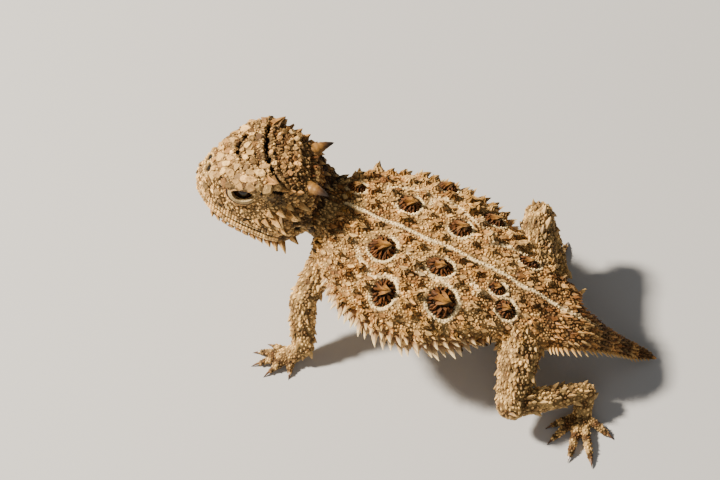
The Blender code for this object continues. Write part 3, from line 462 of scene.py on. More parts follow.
@dataclass
class Head:
    """High, wedge-shaped head turned to the left, nose a little up."""

    place: Point = (-23.0, -0.6, 15.8)
    yaw: float = 21.0
    nose_up: float = 10.0
    rear: float = -0.6
    snout: float = 15.1
    inset: float = 0.12
    stations: int = 90
    socket_depth: float = 0.7
    socket_length: float = 2.6
    eye: Point = (9.1, 3.5, 4.6)
    eye_radius: float = 1.5
    nostril: Point = (14.1, 0.85, 4.4)
    nostril_axis: Point = (0.7, 0.37, 0.61)
    ear: Point = (0.9, 6.1, 0.6)
    ear_axis: Point = (0.0, 1.0, 0.0)
    crown: Profile = Profile(((-0.6, 6.6), (1, 7.7), (2.6, 8.5), (4.2, 8.85), (6.0, 8.9),
                              (8, 8.9), (10, 8.2), (12, 7.0), (13.4, 5.5), (14.3, 4.2),
                              (14.9, 2.8), (15.1, 1.9)))
    chin: Profile = Profile(((-0.6, -1.9), (1, -2.5), (3, -2.9), (6, -3.1), (9, -3.0), (11, -2.7),
                             (13, -2.1), (14.2, -1.4), (14.9, -0.6), (15.1, 0.2)))
    brow_width: Profile = Profile(((-0.6, 3.9), (1, 4.6), (3, 5.3), (4.6, 5.6), (6, 6.1), (9, 5.7),
                                   (11, 4.6), (13, 2.9), (14.2, 1.8), (14.9, 1.0), (15.1, 0.5)))
    brow_height: Profile = Profile(((-0.6, 5.9), (1, 6.8), (3, 7.7), (4.6, 7.8), (6, 8.5),
                                    (9, 7.8), (11, 6.7), (13, 5.2), (14.2, 3.9), (14.9, 2.6),
                                    (15.1, 1.8)))
    cheek_width: Profile = Profile(((-0.6, 5.2), (1, 6.0), (3, 6.5), (6, 6.2), (9, 5.4), (11, 4.7),
                                    (13, 3.6), (14.2, 2.4), (14.9, 1.3), (15.1, 0.6)))
    jaw_width: Profile = Profile(((-0.6, 4.4), (1, 5.6), (3, 6.3), (6, 6.0), (9, 5.2), (11, 4.5),
                                  (13, 3.3), (14.2, 2.1), (14.9, 1.1), (15.1, 0.5)))
    cheek_height: Profile = Profile(((-0.6, 2.4), (3, 2.2), (9, 1.7), (13, 1.6), (15.1, 1.3)))
    jaw_height: Profile = Profile(((-0.6, -1.1), (3, -2.1), (9, -1.9), (13, -1.1), (15.1, 0.4)))
    mouth_height: Profile = Profile(((2, -1.2), (6, -0.8), (10, -0.4), (13, 0.1), (15.5, 0.6)))
    mouth_corner: float = 3.4
    brow_line: Profile = Profile(((3.6, 7.3), (4.8, 7.45), (6.5, 7.2), (8.2, 6.75), (10.0, 5.8),
                                  (11.5, 4.6), (12.6, 3.8)))
    crack: Profile = Profile(((-6.2, 5.9), (-5.0, 6.5), (-3.3, 7.0), (-1.5, 7.0), (0.0, 6.9),
                              (1.8, 6.35), (3.0, 5.9), (4.1, 5.3), (5.6, 4.1)))
    short_crack: Profile = Profile(((-3.1, 9.4), (-1.3, 10.4), (-0.3, 10.65), (0.6, 10.4), (1.3, 9.9)))

    def cracks(self, local: Array) -> tuple[Array, Array]:
        """Distance of places to the long and to the short furrow across the crown.

        Args:
            local: Places in the head's own frame.

        Returns:
            Distance to the long one and to the short one.
        """
        x, y, _ = local.T
        waver = 0.14 * np.sin(4.1 * y) + 0.08 * np.sin(9.3 * y + 1.0)
        past = 3 * np.maximum(np.maximum(-3.1 - y, y - 1.3), 0)
        return np.abs(x - self.crack(y) - waver), np.abs(x - self.short_crack(y) - waver) + past

    def pits(self, local: Array) -> list[Array]:
        """Sideways distance of places to the axis of the nearer nostril and ear.

        Args:
            local: Places in the head's own frame.

        Returns:
            Distance to the nostril's axis and to the ear's.
        """
        away = []
        for centre, axis in ((self.nostril, self.nostril_axis), (self.ear, self.ear_axis)):
            step = local * (1, 0, 1) + np.abs(local) * (0, 1, 0) - centre
            along = step @ axis
            wide = np.linalg.norm(step - np.outer(along, axis), axis=1)
            away.append(wide + 9 * np.maximum(np.abs(along) - 1.6, 0))
        return away

    def axes(self) -> Array:
        """Rows of the head's forward, left and upward directions.

        Returns:
            The three directions in the body's frame.
        """
        yaw, tilt = math.radians(self.yaw), math.radians(self.nose_up)
        ahead = np.array((-math.cos(yaw), -math.sin(yaw), 0.0))
        left = np.cross(UP, ahead)
        forward = ahead * math.cos(tilt) + UP * math.sin(tilt)
        return np.array((forward, left, np.cross(forward, left)))

    def out(self, local: Array, side: Side = Side.LEFT) -> Array:
        """Places in the body's frame from places in the head's own, mirrored for the right side."""
        return np.asarray(local, float) * (1, side, 1) @ self.axes() + np.array(self.place)

    def into(self, place: Array) -> Array:
        """Places in the head's own frame from places in the body's."""
        return (np.asarray(place, float) - np.array(self.place)) @ self.axes().T

    def aim(self, local: Array) -> Array:
        """Directions in the body's frame from directions in the head's own."""
        return np.asarray(local, float) @ self.axes()

    def half_section(self, x: float, count: int) -> Array:
        """Places from crown to chin down the left side at station x, as side and height.

        Args:
            x: Station along the head.
            count: Steps down the side.

        Returns:
            One row of side and height for each step.
        """
        brow = np.array((self.brow_width(x), self.brow_height(x)))
        cheek = np.array((self.cheek_width(x), self.cheek_height(x)))
        jaw = np.array((self.jaw_width(x), self.jaw_height(x)))
        crown, chin = float(self.crown(x)), float(self.chin(x))
        hollow = self.socket_depth * math.exp(-((x - self.eye[0]) / self.socket_length) ** 2)
        temple = 0.5 * (brow + cheek) - np.array((hollow, 0.0))
        keys = np.array([(0.0, crown), (0.55 * brow[0], 0.75 * crown + 0.25 * brow[1]), brow, temple,
                         cheek, jaw, (0.6 * jaw[0], 0.7 * chin + 0.3 * jaw[1]), (0.0, chin)])
        return route(keys, np.linspace(0, 1, count + 1))

    def ring(self, x: float, inset: float) -> Array:
        """Whole section at station x in the head's own frame.

        Args:
            x: Station along the head.
            inset: How far it lies under the surface.

        Returns:
            The ring of places.
        """
        half = self.half_section(x, CORNERS // 2)
        both = np.concatenate((half, half[-2:0:-1] * np.array((-1, 1))))
        middle = np.array((0.0, 0.5 * float(self.crown(x) + self.chin(x))))
        away = both - middle
        length = np.linalg.norm(away, axis=1, keepdims=True)
        flat = middle + away * (1 - inset / length)
        return np.column_stack((np.full(len(flat), x), flat))

    def side_at(self, x: float, z: float) -> float:
        """Half width of the head at station x and height z.

        Args:
            x: Station along the head.
            z: Height over its origin.

        Returns:
            The half width.
        """
        half = self.half_section(x, 60)
        lower = half[20:]
        order = np.argsort(lower[:, 1])
        return float(np.interp(z, lower[order, 1], lower[order, 0]))

    def part(self) -> Part:
        """The head's loft before its eye hollows are cut.

        Returns:
            The head's part.
        """
        eased = np.sin(np.linspace(0, 0.5 * math.pi, self.stations))
        stations = self.rear + (self.snout - self.rear) * eased
        rings = np.array([self.out(self.ring(x, self.inset)) for x in stations])
        axis = self.out(np.array([(self.snout - 3, 0.0, 2.2), (self.rear, 0.0, 2.4)]))
        return Part("head", Region.HEAD, rings, axis, UP)


@dataclass
class Neck:
    """Short neck between trunk and head, which runs a little way into both."""

    trunk: Trunk
    head: Head
    pinch: float = 0.1
    inset: float = 0.2
    stations: int = 14

    def part(self) -> Part:
        """The neck's loft.

        Returns:
            The neck's part.
        """
        turn = 0.5 * math.pi - full_turn(CORNERS)
        rear = self.trunk.point(self.trunk.front, turn, self.inset)
        front = self.head.out(self.head.ring(self.head.rear, self.inset))
        ahead = self.head.axes()[0]
        rings = []
        for t in np.linspace(0, 1, self.stations):
            ring = rear * (1 - t) + front * t
            rings.append(drawn_in(ring, 1 - self.pinch * math.sin(math.pi * t)))
        loft = np.array([drawn_in(rings[0], 0.9) + TAILWARD, *rings, drawn_in(rings[-1], 0.9) + ahead])
        axis = np.array([rings[-1].mean(0), rings[0].mean(0)])
        return Part("neck", Region.NECK, loft, axis, UP)


@dataclass
class Tail:
    """Short tail that drops to the floor and bends to the right."""

    back: tuple[Point, ...] = (
        (14.8, 0.0, 11.8), (17.1, 0.5, 10.6), (19.6, 1.9, 7.9), (21.8, 3.6, 4.8),
        (24.1, 5.0, 2.3), (26.3, 5.7, 1.1))
    half_width: Profile = Profile(((0, 5.1), (0.2, 4.3), (0.4, 2.9), (0.6, 1.9), (0.8, 1.2), (1, 0.5)))
    half_depth: Profile = Profile(((0, 2.8), (0.2, 2.3), (0.4, 1.7), (0.6, 1.25), (0.8, 0.9), (1, 0.45)))
    inset: float = 0.1
    stations: int = 40
    corners: int = 40

    def at(self, t: float) -> tuple[Array, Array, Array, Array]:
        """Centre, ahead, side and rise at a share of the tail's length.

        Args:
            t: The share.

        Returns:
            The place and the three directions.
        """
        path = np.array(self.back)
        ahead = unit(route(path, min(t + 0.03, 1.0)) - route(path, max(t - 0.03, 0.0)))
        share = min(1.0, t / 0.2)
        ahead = unit(TAILWARD * (1 - share) + ahead * share)
        side = unit(np.cross(ahead, UP))
        rise = np.cross(side, ahead)
        return route(path, t) - rise * float(self.half_depth(t)), ahead, side, rise

    def part(self) -> Part:
        """The tail's loft, started inside the trunk.

        Returns:
            The tail's part.
        """
        turn = full_turn(self.corners)[:, None]
        rings, axis = [], []
        for t in np.linspace(0, 1, self.stations):
            centre, _, side, rise = self.at(float(t))
            wide, deep = self.half_width(t) - self.inset, self.half_depth(t) - self.inset
            rings.append(centre + side * wide * np.cos(turn) + rise * deep * np.sin(turn))
            axis.append(centre)
        tip = drawn_in(rings[-1], 0.3) + self.at(1.0)[1] * 0.3
        inner = drawn_in(rings[0], 0.92) - TAILWARD * 1.2
        return Part("tail", Region.TAIL, np.array([inner, *rings, tip]), np.array(axis[::5]), UP)


@dataclass
class Leg:
    """One leg: two lengths, a palm and five clawed digits flat on the floor."""

    name: str
    region: Region
    joints: tuple[Point, ...]
    radii: tuple[tuple[float, ...], ...]
    tips: tuple[Pair, ...]
    knuckle_height: float = 0.75
    tip_height: float = 0.36
    digit_radii: tuple[float, ...] = (0.8, 0.66, 0.6, 0.5, 0.4)
    claw_length: float = 1.15
    inset: float = 0.1
    claws: list[tuple[Array, Array]] = field(default_factory=list)

    def parts(self) -> list[Part]:
        """Lofts of both lengths, the palm and the digits; it also notes the claws' places.

        Returns:
            The parts from the body outwards.
        """
        first, second, third = np.array(self.joints)
        made = []
        for label, start, end, radii in (("upper", first, second, self.radii[0]),
                                         ("lower", second, third, self.radii[1])):
            rings = tube([start, (start + end) / 2, end], radii, 28, 26, inset=self.inset)
            made.append(Part(f"{self.name}_{label}", self.region, rings, np.array([start, end]), UP))
        ends = [np.array((x, y, self.tip_height)) for x, y in self.tips]
        knuckle = third + (np.mean(ends, axis=0) - third) * 0.45
        knuckle[2] = self.knuckle_height
        wrist = self.radii[1][-1] * 1.05
        middle = (third + knuckle) / 2 - UP * 0.1
        rings = tube([third, middle, knuckle], (wrist, wrist, wrist * 0.8), 24, 10, 0.8, self.inset)
        made.append(Part(f"{self.name}_palm", Region.PALM, rings, np.array([third, knuckle]), UP))
        for i, end in enumerate(ends):
            root = knuckle + (third - knuckle) * 0.25
            root = root + (end - root) * 0.12
            bend = root + (end - root) * 0.55
            root[2] = bend[2] = self.knuckle_height
            rings = tube([root, bend, end], self.digit_radii, 16, 18, 0.95, 0.04)
            axis = np.array([root, bend, end])
            made.append(Part(f"{self.name}_digit{i}", Region.DIGIT, rings, axis, UP))
            self.claws.append((end + UP * 0.08, unit(end - bend)))
        return made


@dataclass
class Sites:
    """Places on the skin where scales are rooted."""

    place: Array
    normal: Array
    lie: Array
    layout: Array
    region: Array
    along: Array

    def where(self, keep: Array) -> "Sites":
        """Only the sites that a mask or a list of indices keeps."""
        return Sites(*(getattr(self, name)[keep] for name in self.__dataclass_fields__))


@dataclass(frozen=True)
class Spot:
    """Dark, pale-rimmed blotch of the back, half sizes along and across the body."""

    x: float
    y: float
    half_x: float
    half_y: float

    def reach(self, place: Array) -> Array:
        """Distance of places from the spot's middle, 1 at its edge."""
        return np.hypot((place[:, 0] - self.x) / self.half_x, (place[:, 1] - self.y) / self.half_y)


def thin(place: Array, spacing: Array) -> Array:
    """Choose sites that keep their spacing.

    Args:
        place: Candidates in random order.
        spacing: Least distance of each to its neighbours, in millimetres.

    Returns:
        Indices of the places that stay.
    """
    cell = float(spacing.max())
    keys = np.floor(place / cell).astype(int)
    grid: dict[tuple[int, int, int], list[int]] = {}
    places = place.tolist()
    room = spacing.tolist()
    kept = []
    steps = [(i, j, k) for i in (-1, 0, 1) for j in (-1, 0, 1) for k in (-1, 0, 1)]
    for n, (kx, ky, kz) in enumerate(keys.tolist()):
        x, y, z = places[n]
        least = room[n] ** 2
        near = (places[m] for i, j, k in steps for m in grid.get((kx + i, ky + j, kz + k), ()))
        if all((px - x) ** 2 + (py - y) ** 2 + (pz - z) ** 2 >= least for px, py, pz in near):
            grid.setdefault((kx, ky, kz), []).append(n)
            kept.append(n)
    return np.array(kept)


@dataclass
class Mounds:
    """Raised places of the back, each with a ring of scales and a spine on top."""

    trunk: Trunk
    spots: tuple[Spot, ...]
    chosen: tuple[Point, ...] = (
        (-14.3, 1.7, 1.0), (-14.3, -2.7, 1.1), (-5.6, -2.1, 0.85), (-5.9, 5.7, 1.05),
        (-8.8, -7.6, 0.85), (-6.0, -6.7, 0.9), (1.1, -4.9, 0.85), (-2.2, -11.4, 1.0),
        (-4.3, -12.6, 0.9), (-14.3, -5.6, 0.9), (2.9, -2.2, 0.75), (-14.9, -7.9, 0.9),
        (-5.4, 2.2, 0.8), (3.0, 2.2, 0.75), (4.2, -6.8, 0.95), (-12.6, -9.9, 1.0),
        (-11.8, 8.2, 0.95), (4.0, 6.6, 0.9), (-3.4, 9.4, 1.0), (11.2, -2.3, 0.75),
        (11.4, 2.2, 0.75), (-10.6, -11.8, 0.9), (-9.2, 11.0, 0.9), (1.2, 10.4, 0.9))
    tries: int = 2600
    midline_room: float = 1.15
    spot_room: float = 1.62
    spacing: Pair = (1.9, 1.6)
    seed: int = 82
    height: float = 0.68
    slope: float = 0.72
    place: Array = field(default_factory=lambda: np.zeros((0, 3)))
    size: Array = field(default_factory=lambda: np.zeros(0))

    def __post_init__(self) -> None:
        """Adds random mounds, closer together at the flanks, to the chosen ones."""
        draw = np.random.default_rng(self.seed)
        x = draw.uniform(-18.7, 12.8, self.tries)
        angle = draw.uniform(-0.2, math.pi + 0.2, self.tries)
        loose = self.trunk.point(x, angle)
        keep = off_midline(loose) > self.midline_room
        for spot in self.spots:
            keep &= spot.reach(loose) > self.spot_room
        loose = loose[keep]
        chosen = np.array(self.chosen)
        place = np.concatenate((self.trunk.over(chosen[:, 0], chosen[:, 1]), loose))
        out = np.abs(place[:, 1]) / self.trunk.flank(place[:, 0], -place[:, 1])
        size = np.concatenate((chosen[:, 2], draw.uniform(0.65, 1.05, len(loose))))
        size[len(chosen):] *= 1 - 0.2 * ease(place[len(chosen):, 0], 4.0, 12.0)
        kept = thin(place, np.where(out > 0.7, self.spacing[1], self.spacing[0]))
        self.place, self.size = place[kept], size[kept]

    def rise(self, verts: Array) -> Array:
        """Height of the mounds over the trunk at the given places.

        Args:
            verts: Places on the skin.

        Returns:
            Their rise in millimetres.
        """
        tree = search_tree(self.place)
        found = [tree.find(place)[1:] for place in verts]
        size = self.size[[i for i, _ in found]]
        return self.height * size * bell(np.array([gap for _, gap in found]), self.slope * size)


@dataclass
class Markings:
    """Colours of the hide, the same for skin and scales, with painted shade and light among them."""

    head: Head
    tan: Array = tint_field(212, 157, 89)
    pale: Array = tint_field(238, 196, 126)
    cream: Array = tint_field(250, 223, 168)
    brown: Array = tint_field(124, 76, 34)
    dark: Array = tint_field(44, 25, 12)
    orange: Array = tint_field(172, 124, 54)
    tail_line: tuple[Pair, ...] = ((14.8, -0.1), (17.1, 0.4), (19.6, 1.8), (21.8, 3.5))
    spots: tuple[Spot, ...] = (
        Spot(-9.7, 4.0, 1.55, 1.65), Spot(-9.8, -4.5, 1.8, 1.9), Spot(-2.0, 3.7, 1.5, 1.5),
        Spot(-1.8, -3.6, 1.9, 1.4), Spot(0.5, -8.1, 1.9, 2.1), Spot(-7.0, -10.4, 1.6, 1.9),
        Spot(8.3, -4.5, 1.4, 1.1), Spot(6.2, -2.6, 1.2, 0.9), Spot(-7.0, 10.6, 1.4, 1.2),
        Spot(1.0, 8.2, 1.5, 1.3), Spot(8.0, 4.0, 1.4, 1.0), Spot(-17.2, 3.2, 1.2, 1.1))
    rim_width: float = 0.35
    midline_half: float = 0.21
    lines: tuple[tuple[Pair, ...], ...] = (
        ((-7.4, 5.6), (-7.0, 7.2), (-5.7, 7.6), (-4.4, 7.4), (-2.6, 6.6), (0.4, 5.8), (1.6, 5.6)),
        ((-6.5, -3.6), (-5.2, -4.7), (-4.0, -5.7), (-2.4, -5.6), (-0.7, -5.3), (1.8, -6.0),
         (2.8, -7.5), (2.4, -9.4)),
        ((-13.5, -5.3), (-11.7, -7.5), (-10.4, -8.2), (-9.2, -9.1), (-7.9, -8.3), (-6.0, -8.2)),
        ((2.6, -3.5), (4.4, -4.4), (6.5, -3.7), (8.6, -3.2), (9.7, -4.3), (9.5, -5.6)),
        ((2.6, 3.5), (4.4, 4.6), (6.5, 4.9), (9.2, 5.0)),
        ((-13.5, 5.3), (-11.4, 6.8), (-9.0, 7.4), (-7.4, 7.0)))
    line_half: float = 0.22
    shaded_side: Pair = (-0.85, 0.53)
    wrinkle: float = 5.0
    face_patches: tuple[Point, ...] = ((4.6, 5.9, 1.5), (8.2, 0.5, 1.1), (5.4, -0.2, 1.0),
                                       (11.5, 1.2, 0.8), (0.4, 2.0, 1.9), (2.2, -1.2, 1.0))
    tail_bands: tuple[Pair, ...] = ((0.2, 0.03), (0.5, 0.04), (0.75, 0.05), (0.99, 0.06))

    def paint(self, sites: Sites) -> Array:
        """Linear colour of each site from where it lies on the animal.

        Args:
            sites: Where the colours are wanted.

        Returns:
            One colour for each site.
        """
        place = sites.place
        fine = mottle(place, 0.45, 3)
        coarse = mottle(place, 1.7, 4)
        tint = washes(self.tan, (self.brown, 0.75 * ease(coarse, 0.35, 0.95)),
                      (self.pale, 0.75 * ease(fine, 0.45, 0.9)),
                      (self.brown, 0.5 * ease(mottle(place, 0.7, 5), 0.62, 0.95)))
        under = ease(sites.normal[:, 2], 0.0, -0.5)
        for region, paint in ((Region.TRUNK, self.on_trunk), (Region.NECK, self.on_neck),
                              (Region.HEAD, self.on_head), (Region.TAIL, self.on_tail)):
            mine = sites.region == region
            tint[mine] = paint(tint[mine], sites.where(mine))
        limb = np.isin(sites.region, (Region.ARM, Region.LEG, Region.PALM, Region.DIGIT))
        tint[limb] = self.on_limb(tint[limb], sites.where(limb))
        belly = blend(self.cream, self.tan, 0.5 * coarse)
        return blend(tint, belly * 0.85, under * np.where(limb, 0.3, 0.65))

    def on_trunk(self, tint: Array, sites: Sites) -> Array:
        """Midline, rimmed spots, the pale lines between them, and a darker rear that is partly painted
        shade.

        Args:
            tint: Colours so far.
            sites: Where they are.

        Returns:
            The marked colours.
        """
        place, up = sites.place, sites.normal[:, 2]
        top = ease(up, 0.05, 0.3)
        wide = mottle(place, 2.4, 13)
        rear = ease(place[:, 0], 5.0, 14.0)
        tint = washes(tint, (self.pale, 0.55 * top * (1 - rear) * ease(wide, 0.45, 0.75)),
                      # darker brown over the rear back: partly the hide's own colour, partly painted
                      # shade of its spines
                      (self.brown * 0.8, 0.65 * top * rear * ease(wide, 0.25, 0.65)),
                      (self.pale, 0.4 * ease(up, 0.8, 0.4) * (1 - rear)))
        for line in self.lines:
            near = np.full(len(place), np.inf)
            for a, b in zip(np.array(line)[:-1], np.array(line)[1:]):
                way = b - a
                t = np.clip((place[:, :2] - a) @ way / (way @ way), 0, 1)
                near = np.minimum(near, np.linalg.norm(place[:, :2] - a - t[:, None] * way, axis=1))
            broken = 0.55 + 0.45 * ease(mottle(place, 1.3, 11), 0.2, 0.6)
            share = ease(near, self.line_half + 0.22, self.line_half)
            tint = blend(tint, self.cream, 0.9 * top * broken * share)
        for spot in self.spots:
            reach = spot.reach(place) * (1 + 0.08 * (mottle(place, 0.6, 12) - 0.5))
            rim = 1 + self.rim_width / spot.half_x
            away = unit(place[:, :2] - np.array((spot.x, spot.y)))
            facing = 0.15 + 0.85 * ease(away @ np.array(self.shaded_side), 0.75, 0.2)
            ring = ease(reach, 0.96, 1.04) * ease(reach, rim + 0.12, rim)
            tint = washes(tint, (self.cream, top * ring * facing),
                          (self.dark, 0.93 * top * ease(reach, 1.04, 0.94)))
        middle = np.abs(place[:, 1] - MIDLINE + 0.12 * np.sin(0.9 * place[:, 0]))
        middle = middle + 9 * ease(place[:, 0], -17.4, -18.2)
        return blend(tint, self.cream, 0.95 * top * ease(middle, self.midline_half + 0.12,
                                                         self.midline_half - 0.04))

    def on_neck(self, tint: Array, sites: Sites) -> Array:
        """Dark blotches with pale flecks, and painted shade down the sides of the neck.

        Args:
            tint: Colours so far.
            sites: Where they are.

        Returns:
            The marked colours.
        """
        place = sites.place
        return washes(tint, (self.dark, 0.85 * ease(mottle(place, 1.5, 21), 0.05, 0.5)),
                      # painted shade: the neck darkens towards its sides, under the head
                      (self.dark, 0.6 * ease(np.abs(place[:, 1] + 1), 3.0, 4.6)))

    def on_head(self, tint: Array, sites: Sites) -> Array:
        """Pale crown, darker rear dome and cheek patches, with painted shade in the brow groove, the
        furrows and wrinkle troughs of the crown, and the nostril and ear pits.

        Args:
            tint: Colours so far.
            sites: Where they are.

        Returns:
            The marked colours.
        """
        place, up = sites.place, sites.normal[:, 2]
        local = self.head.into(place)
        x, y, z = local.T
        top = ease(up, 0.1, 0.6)
        past = x - self.head.crack(y)
        front = ease(past, -0.4, 0.4)
        rows = np.sin(self.wrinkle * past + 3 * mottle(place, 1.5, 34))
        long_crack, short_crack = self.head.cracks(local)
        groove = ease(np.abs(z - self.head.brow_line(x)), 0.55, 0.34)
        tint = washes(
            tint, (self.pale, 0.5 * (1 - top)), (self.pale, 0.45 * top * front),
            (self.pale * 0.9, 0.3 * top * (1 - front)),
            (self.brown, 0.35 * top * (1 - front) * ease(mottle(place, 0.9, 31), 0.2, 0.8)),
            # painted shade: darker brown in the crown's wrinkle troughs, dark in both furrows and in the
            # brow groove
            (self.brown * 0.8, 0.7 * top * ease(rows, 0.25, 0.95)),
            (self.dark * 0.5, top * ease(long_crack, 0.5, 0.3)),
            (self.dark * 0.7, top * ease(short_crack, 0.42, 0.24)),
            (self.dark, 0.7 * ease(mottle(place, 0.26, 32), 0.66, 0.9)),
            (self.dark * 0.5, groove * ease(x, 3.4, 4.2) * ease(x, 12.4, 11.4) * ease(up, 0.9, 0.75)))
        for px, pz, size in self.face_patches:
            near = np.hypot(x - px, (z - pz) * 1.3) / size
            edge = 1 + 0.5 * (mottle(place, 0.7, 33) - 0.5)
            tint = blend(tint, self.dark, 0.75 * (1 - top) * ease(near * edge, 1.1, 0.6))
        corner = self.head.mouth_corner
        mouth = ease(np.abs(z - self.head.mouth_height(x)), 0.26, 0.12) \
            * ease(x, corner - 0.6, corner + 0.2)
        tint = blend(tint, self.dark, 0.9 * mouth * ease(up, 0.7, 0.3))
        # the dark inside each nostril and ear pit is painted shade, inside a pale ring
        for pit, size in zip(self.head.pits(local), (0.66, 0.6)):
            tint = washes(tint, (self.pale, 0.7 * ease(pit, size * 1.9, size * 1.5)),
                          (self.dark * 0.4, ease(pit, size, size * 0.75)))
        return tint

    def on_tail(self, tint: Array, sites: Sites) -> Array:
        """Dark bands across a browner tail.

        Args:
            tint: Colours so far.
            sites: Where they are.

        Returns:
            The marked colours.
        """
        tint = blend(tint, self.brown, 0.3)
        wobble = 0.015 * (mottle(sites.place, 1.0, 41) - 0.5)
        for middle, half in self.tail_bands:
            band = ease(np.abs(sites.along - middle + wobble), half + 0.04, half)
            tint = blend(tint, self.dark, 0.65 * band)
        middle = np.interp(sites.place[:, 0], *np.array(self.tail_line).T)
        return blend(tint, self.cream, 0.8 * ease(sites.along, 0.5, 0.3)
                     * ease(np.abs(sites.place[:, 1] - middle), 0.5, 0.3)
                     * ease(sites.normal[:, 2], 0.1, 0.5))

    def on_limb(self, tint: Array, sites: Sites) -> Array:
        """Broken dark cross-bands on legs and toes, and painted light on the far half of each limb
        length.

        Args:
            tint: Colours so far.
            sites: Where they are.

        Returns:
            The marked colours.
        """
        place, along, arm = sites.place, sites.along, sites.region == Region.ARM
        wobble = 0.3 * (mottle(place, 1.4, 51) - 0.5)
        wave = np.sin(2 * math.pi * (along + wobble) * 1.6 + 1.1)
        stripe = np.sin(2 * math.pi * (along + 0.3 * wobble) * 2.4 + 0.6)
        band = ease(wave, 0.45, 0.95) * np.where(arm | (sites.region == Region.LEG), 0.5, 0.0)
        band = np.where(sites.region == Region.DIGIT, 0.75 * ease(stripe, 0.1, 0.7), band)
        # painted light: the brown blotches thin out over the far half of each limb length, lifting the
        # shade that falls there
        share = np.where(arm, 0.4, 0.65) * (1 - 0.6 * ease(along, 0.45, 0.6))
        return washes(tint, (self.pale, np.where(arm, 0.85, 0.9)), (self.dark * 1.3, band),
                      (self.brown * 0.7, share * ease(mottle(place, 1.3, 52), 0.56, 0.85)),
                      (self.brown, 0.5 * ease(mottle(place, 0.5, 53), 0.55, 0.85)))


def add_node(tree: bpy.types.NodeTree, kind: str, values: dict[str, float],
             links: dict[str | int, bpy.types.NodeSocket]) -> bpy.types.Node:
    """Add a node to a material.

    Args:
        tree: The material's nodes.
        kind: Its type's name after the word ShaderNode.
        values: Value of each socket that stays free.
        links: Output that feeds each linked socket.

    Returns:
        The node.
    """
    node = tree.nodes.new("ShaderNode" + kind)
    for socket, value in values.items():
        node.inputs[socket].default_value = value
    for socket, source in links.items():
        tree.links.new(source, node.inputs[socket])
    return node


@dataclass(frozen=True)
class Finish:
    """Procedural surface over the painted colours of a mesh."""

    name: str
    roughness: float
    grain: float
    grain_depth: float
    cells: float = 0.0
    variation: float = 0.3
    coat: float = 0.0
    specular: float = 0.4
    glow: float = 0.0

    def make(self) -> bpy.types.Material:
        """The material, whose grain sizes are in millimetres.

        Returns:
            The new material.
        """
        surface = bpy.data.materials.new(self.name)
        surface.use_nodes = True
        tree = surface.node_tree
        shader = tree.nodes["Principled BSDF"]
        for socket, value in (("Roughness", self.roughness), ("Specular IOR Level", self.specular),
                              ("Coat Weight", self.coat), ("Coat Roughness", 0.06),
                              ("Subsurface Weight", self.glow), ("Subsurface Scale", 0.0006),
                              ("Subsurface Radius", (1.0, 0.55, 0.3))):
            shader.inputs[socket].default_value = value
        where = add_node(tree, "TexCoord", {}, {}).outputs["Object"]
        paint = add_node(tree, "Attribute", {}, {})
        paint.attribute_name = "hide"
        grain = add_node(tree, "TexNoise", {"Scale": 1 / (self.grain * MM), "Detail": 3.0},
                         {"Vector": where}).outputs["Fac"]
        shade = add_node(tree, "MapRange", {"From Min": 0.3, "From Max": 0.7,
                                            "To Min": 1 - self.variation, "To Max": 1 + self.variation},
                         {"Value": grain})
        tint = add_node(tree, "VectorMath", {}, {0: paint.outputs["Color"]})
        tint.operation = "SCALE"
        tree.links.new(shade.outputs["Result"], tint.inputs["Scale"])
        tree.links.new(tint.outputs["Vector"], shader.inputs["Base Color"])
        height = grain
        if self.cells > 0:
            cells = add_node(tree, "TexVoronoi", {"Scale": 1 / (self.cells * MM)}, {"Vector": where})
            both = add_node(tree, "Math", {}, {0: height, 1: cells.outputs["Distance"]})
            both.operation = "SUBTRACT"
            height = both.outputs["Value"]
        bump = add_node(tree, "Bump", {"Strength": 0.8, "Distance": self.grain_depth * MM},
                        {"Height": height})
        tree.links.new(bump.outputs["Normal"], shader.inputs["Normal"])
        return surface


class Finishes(Enum):
    """Every finish of the animal."""

    SKIN = Finish("sandy_skin", 0.75, 0.22, 0.05, cells=0.2, variation=0.25, specular=0.2)
    SCALE = Finish("dry_scale", 0.66, 0.16, 0.03, variation=0.3, specular=0.22)
    SPINE = Finish("pale_spine", 0.55, 0.2, 0.03, variation=0.18, specular=0.3, glow=0.08)
    HORN = Finish("horn_sheath", 0.48, 0.25, 0.03, variation=0.22)
    CLAW = Finish("claw_horn", 0.3, 0.2, 0.01, variation=0.15)
    EYE = Finish("wet_eye", 0.22, 0.3, 0.0, variation=0.1, coat=0.35, specular=0.3)


class Slot(Enum):
    """The record's material slots."""

    SKIN = "skin"
    EYE = "eye"
    HORN = "horn"


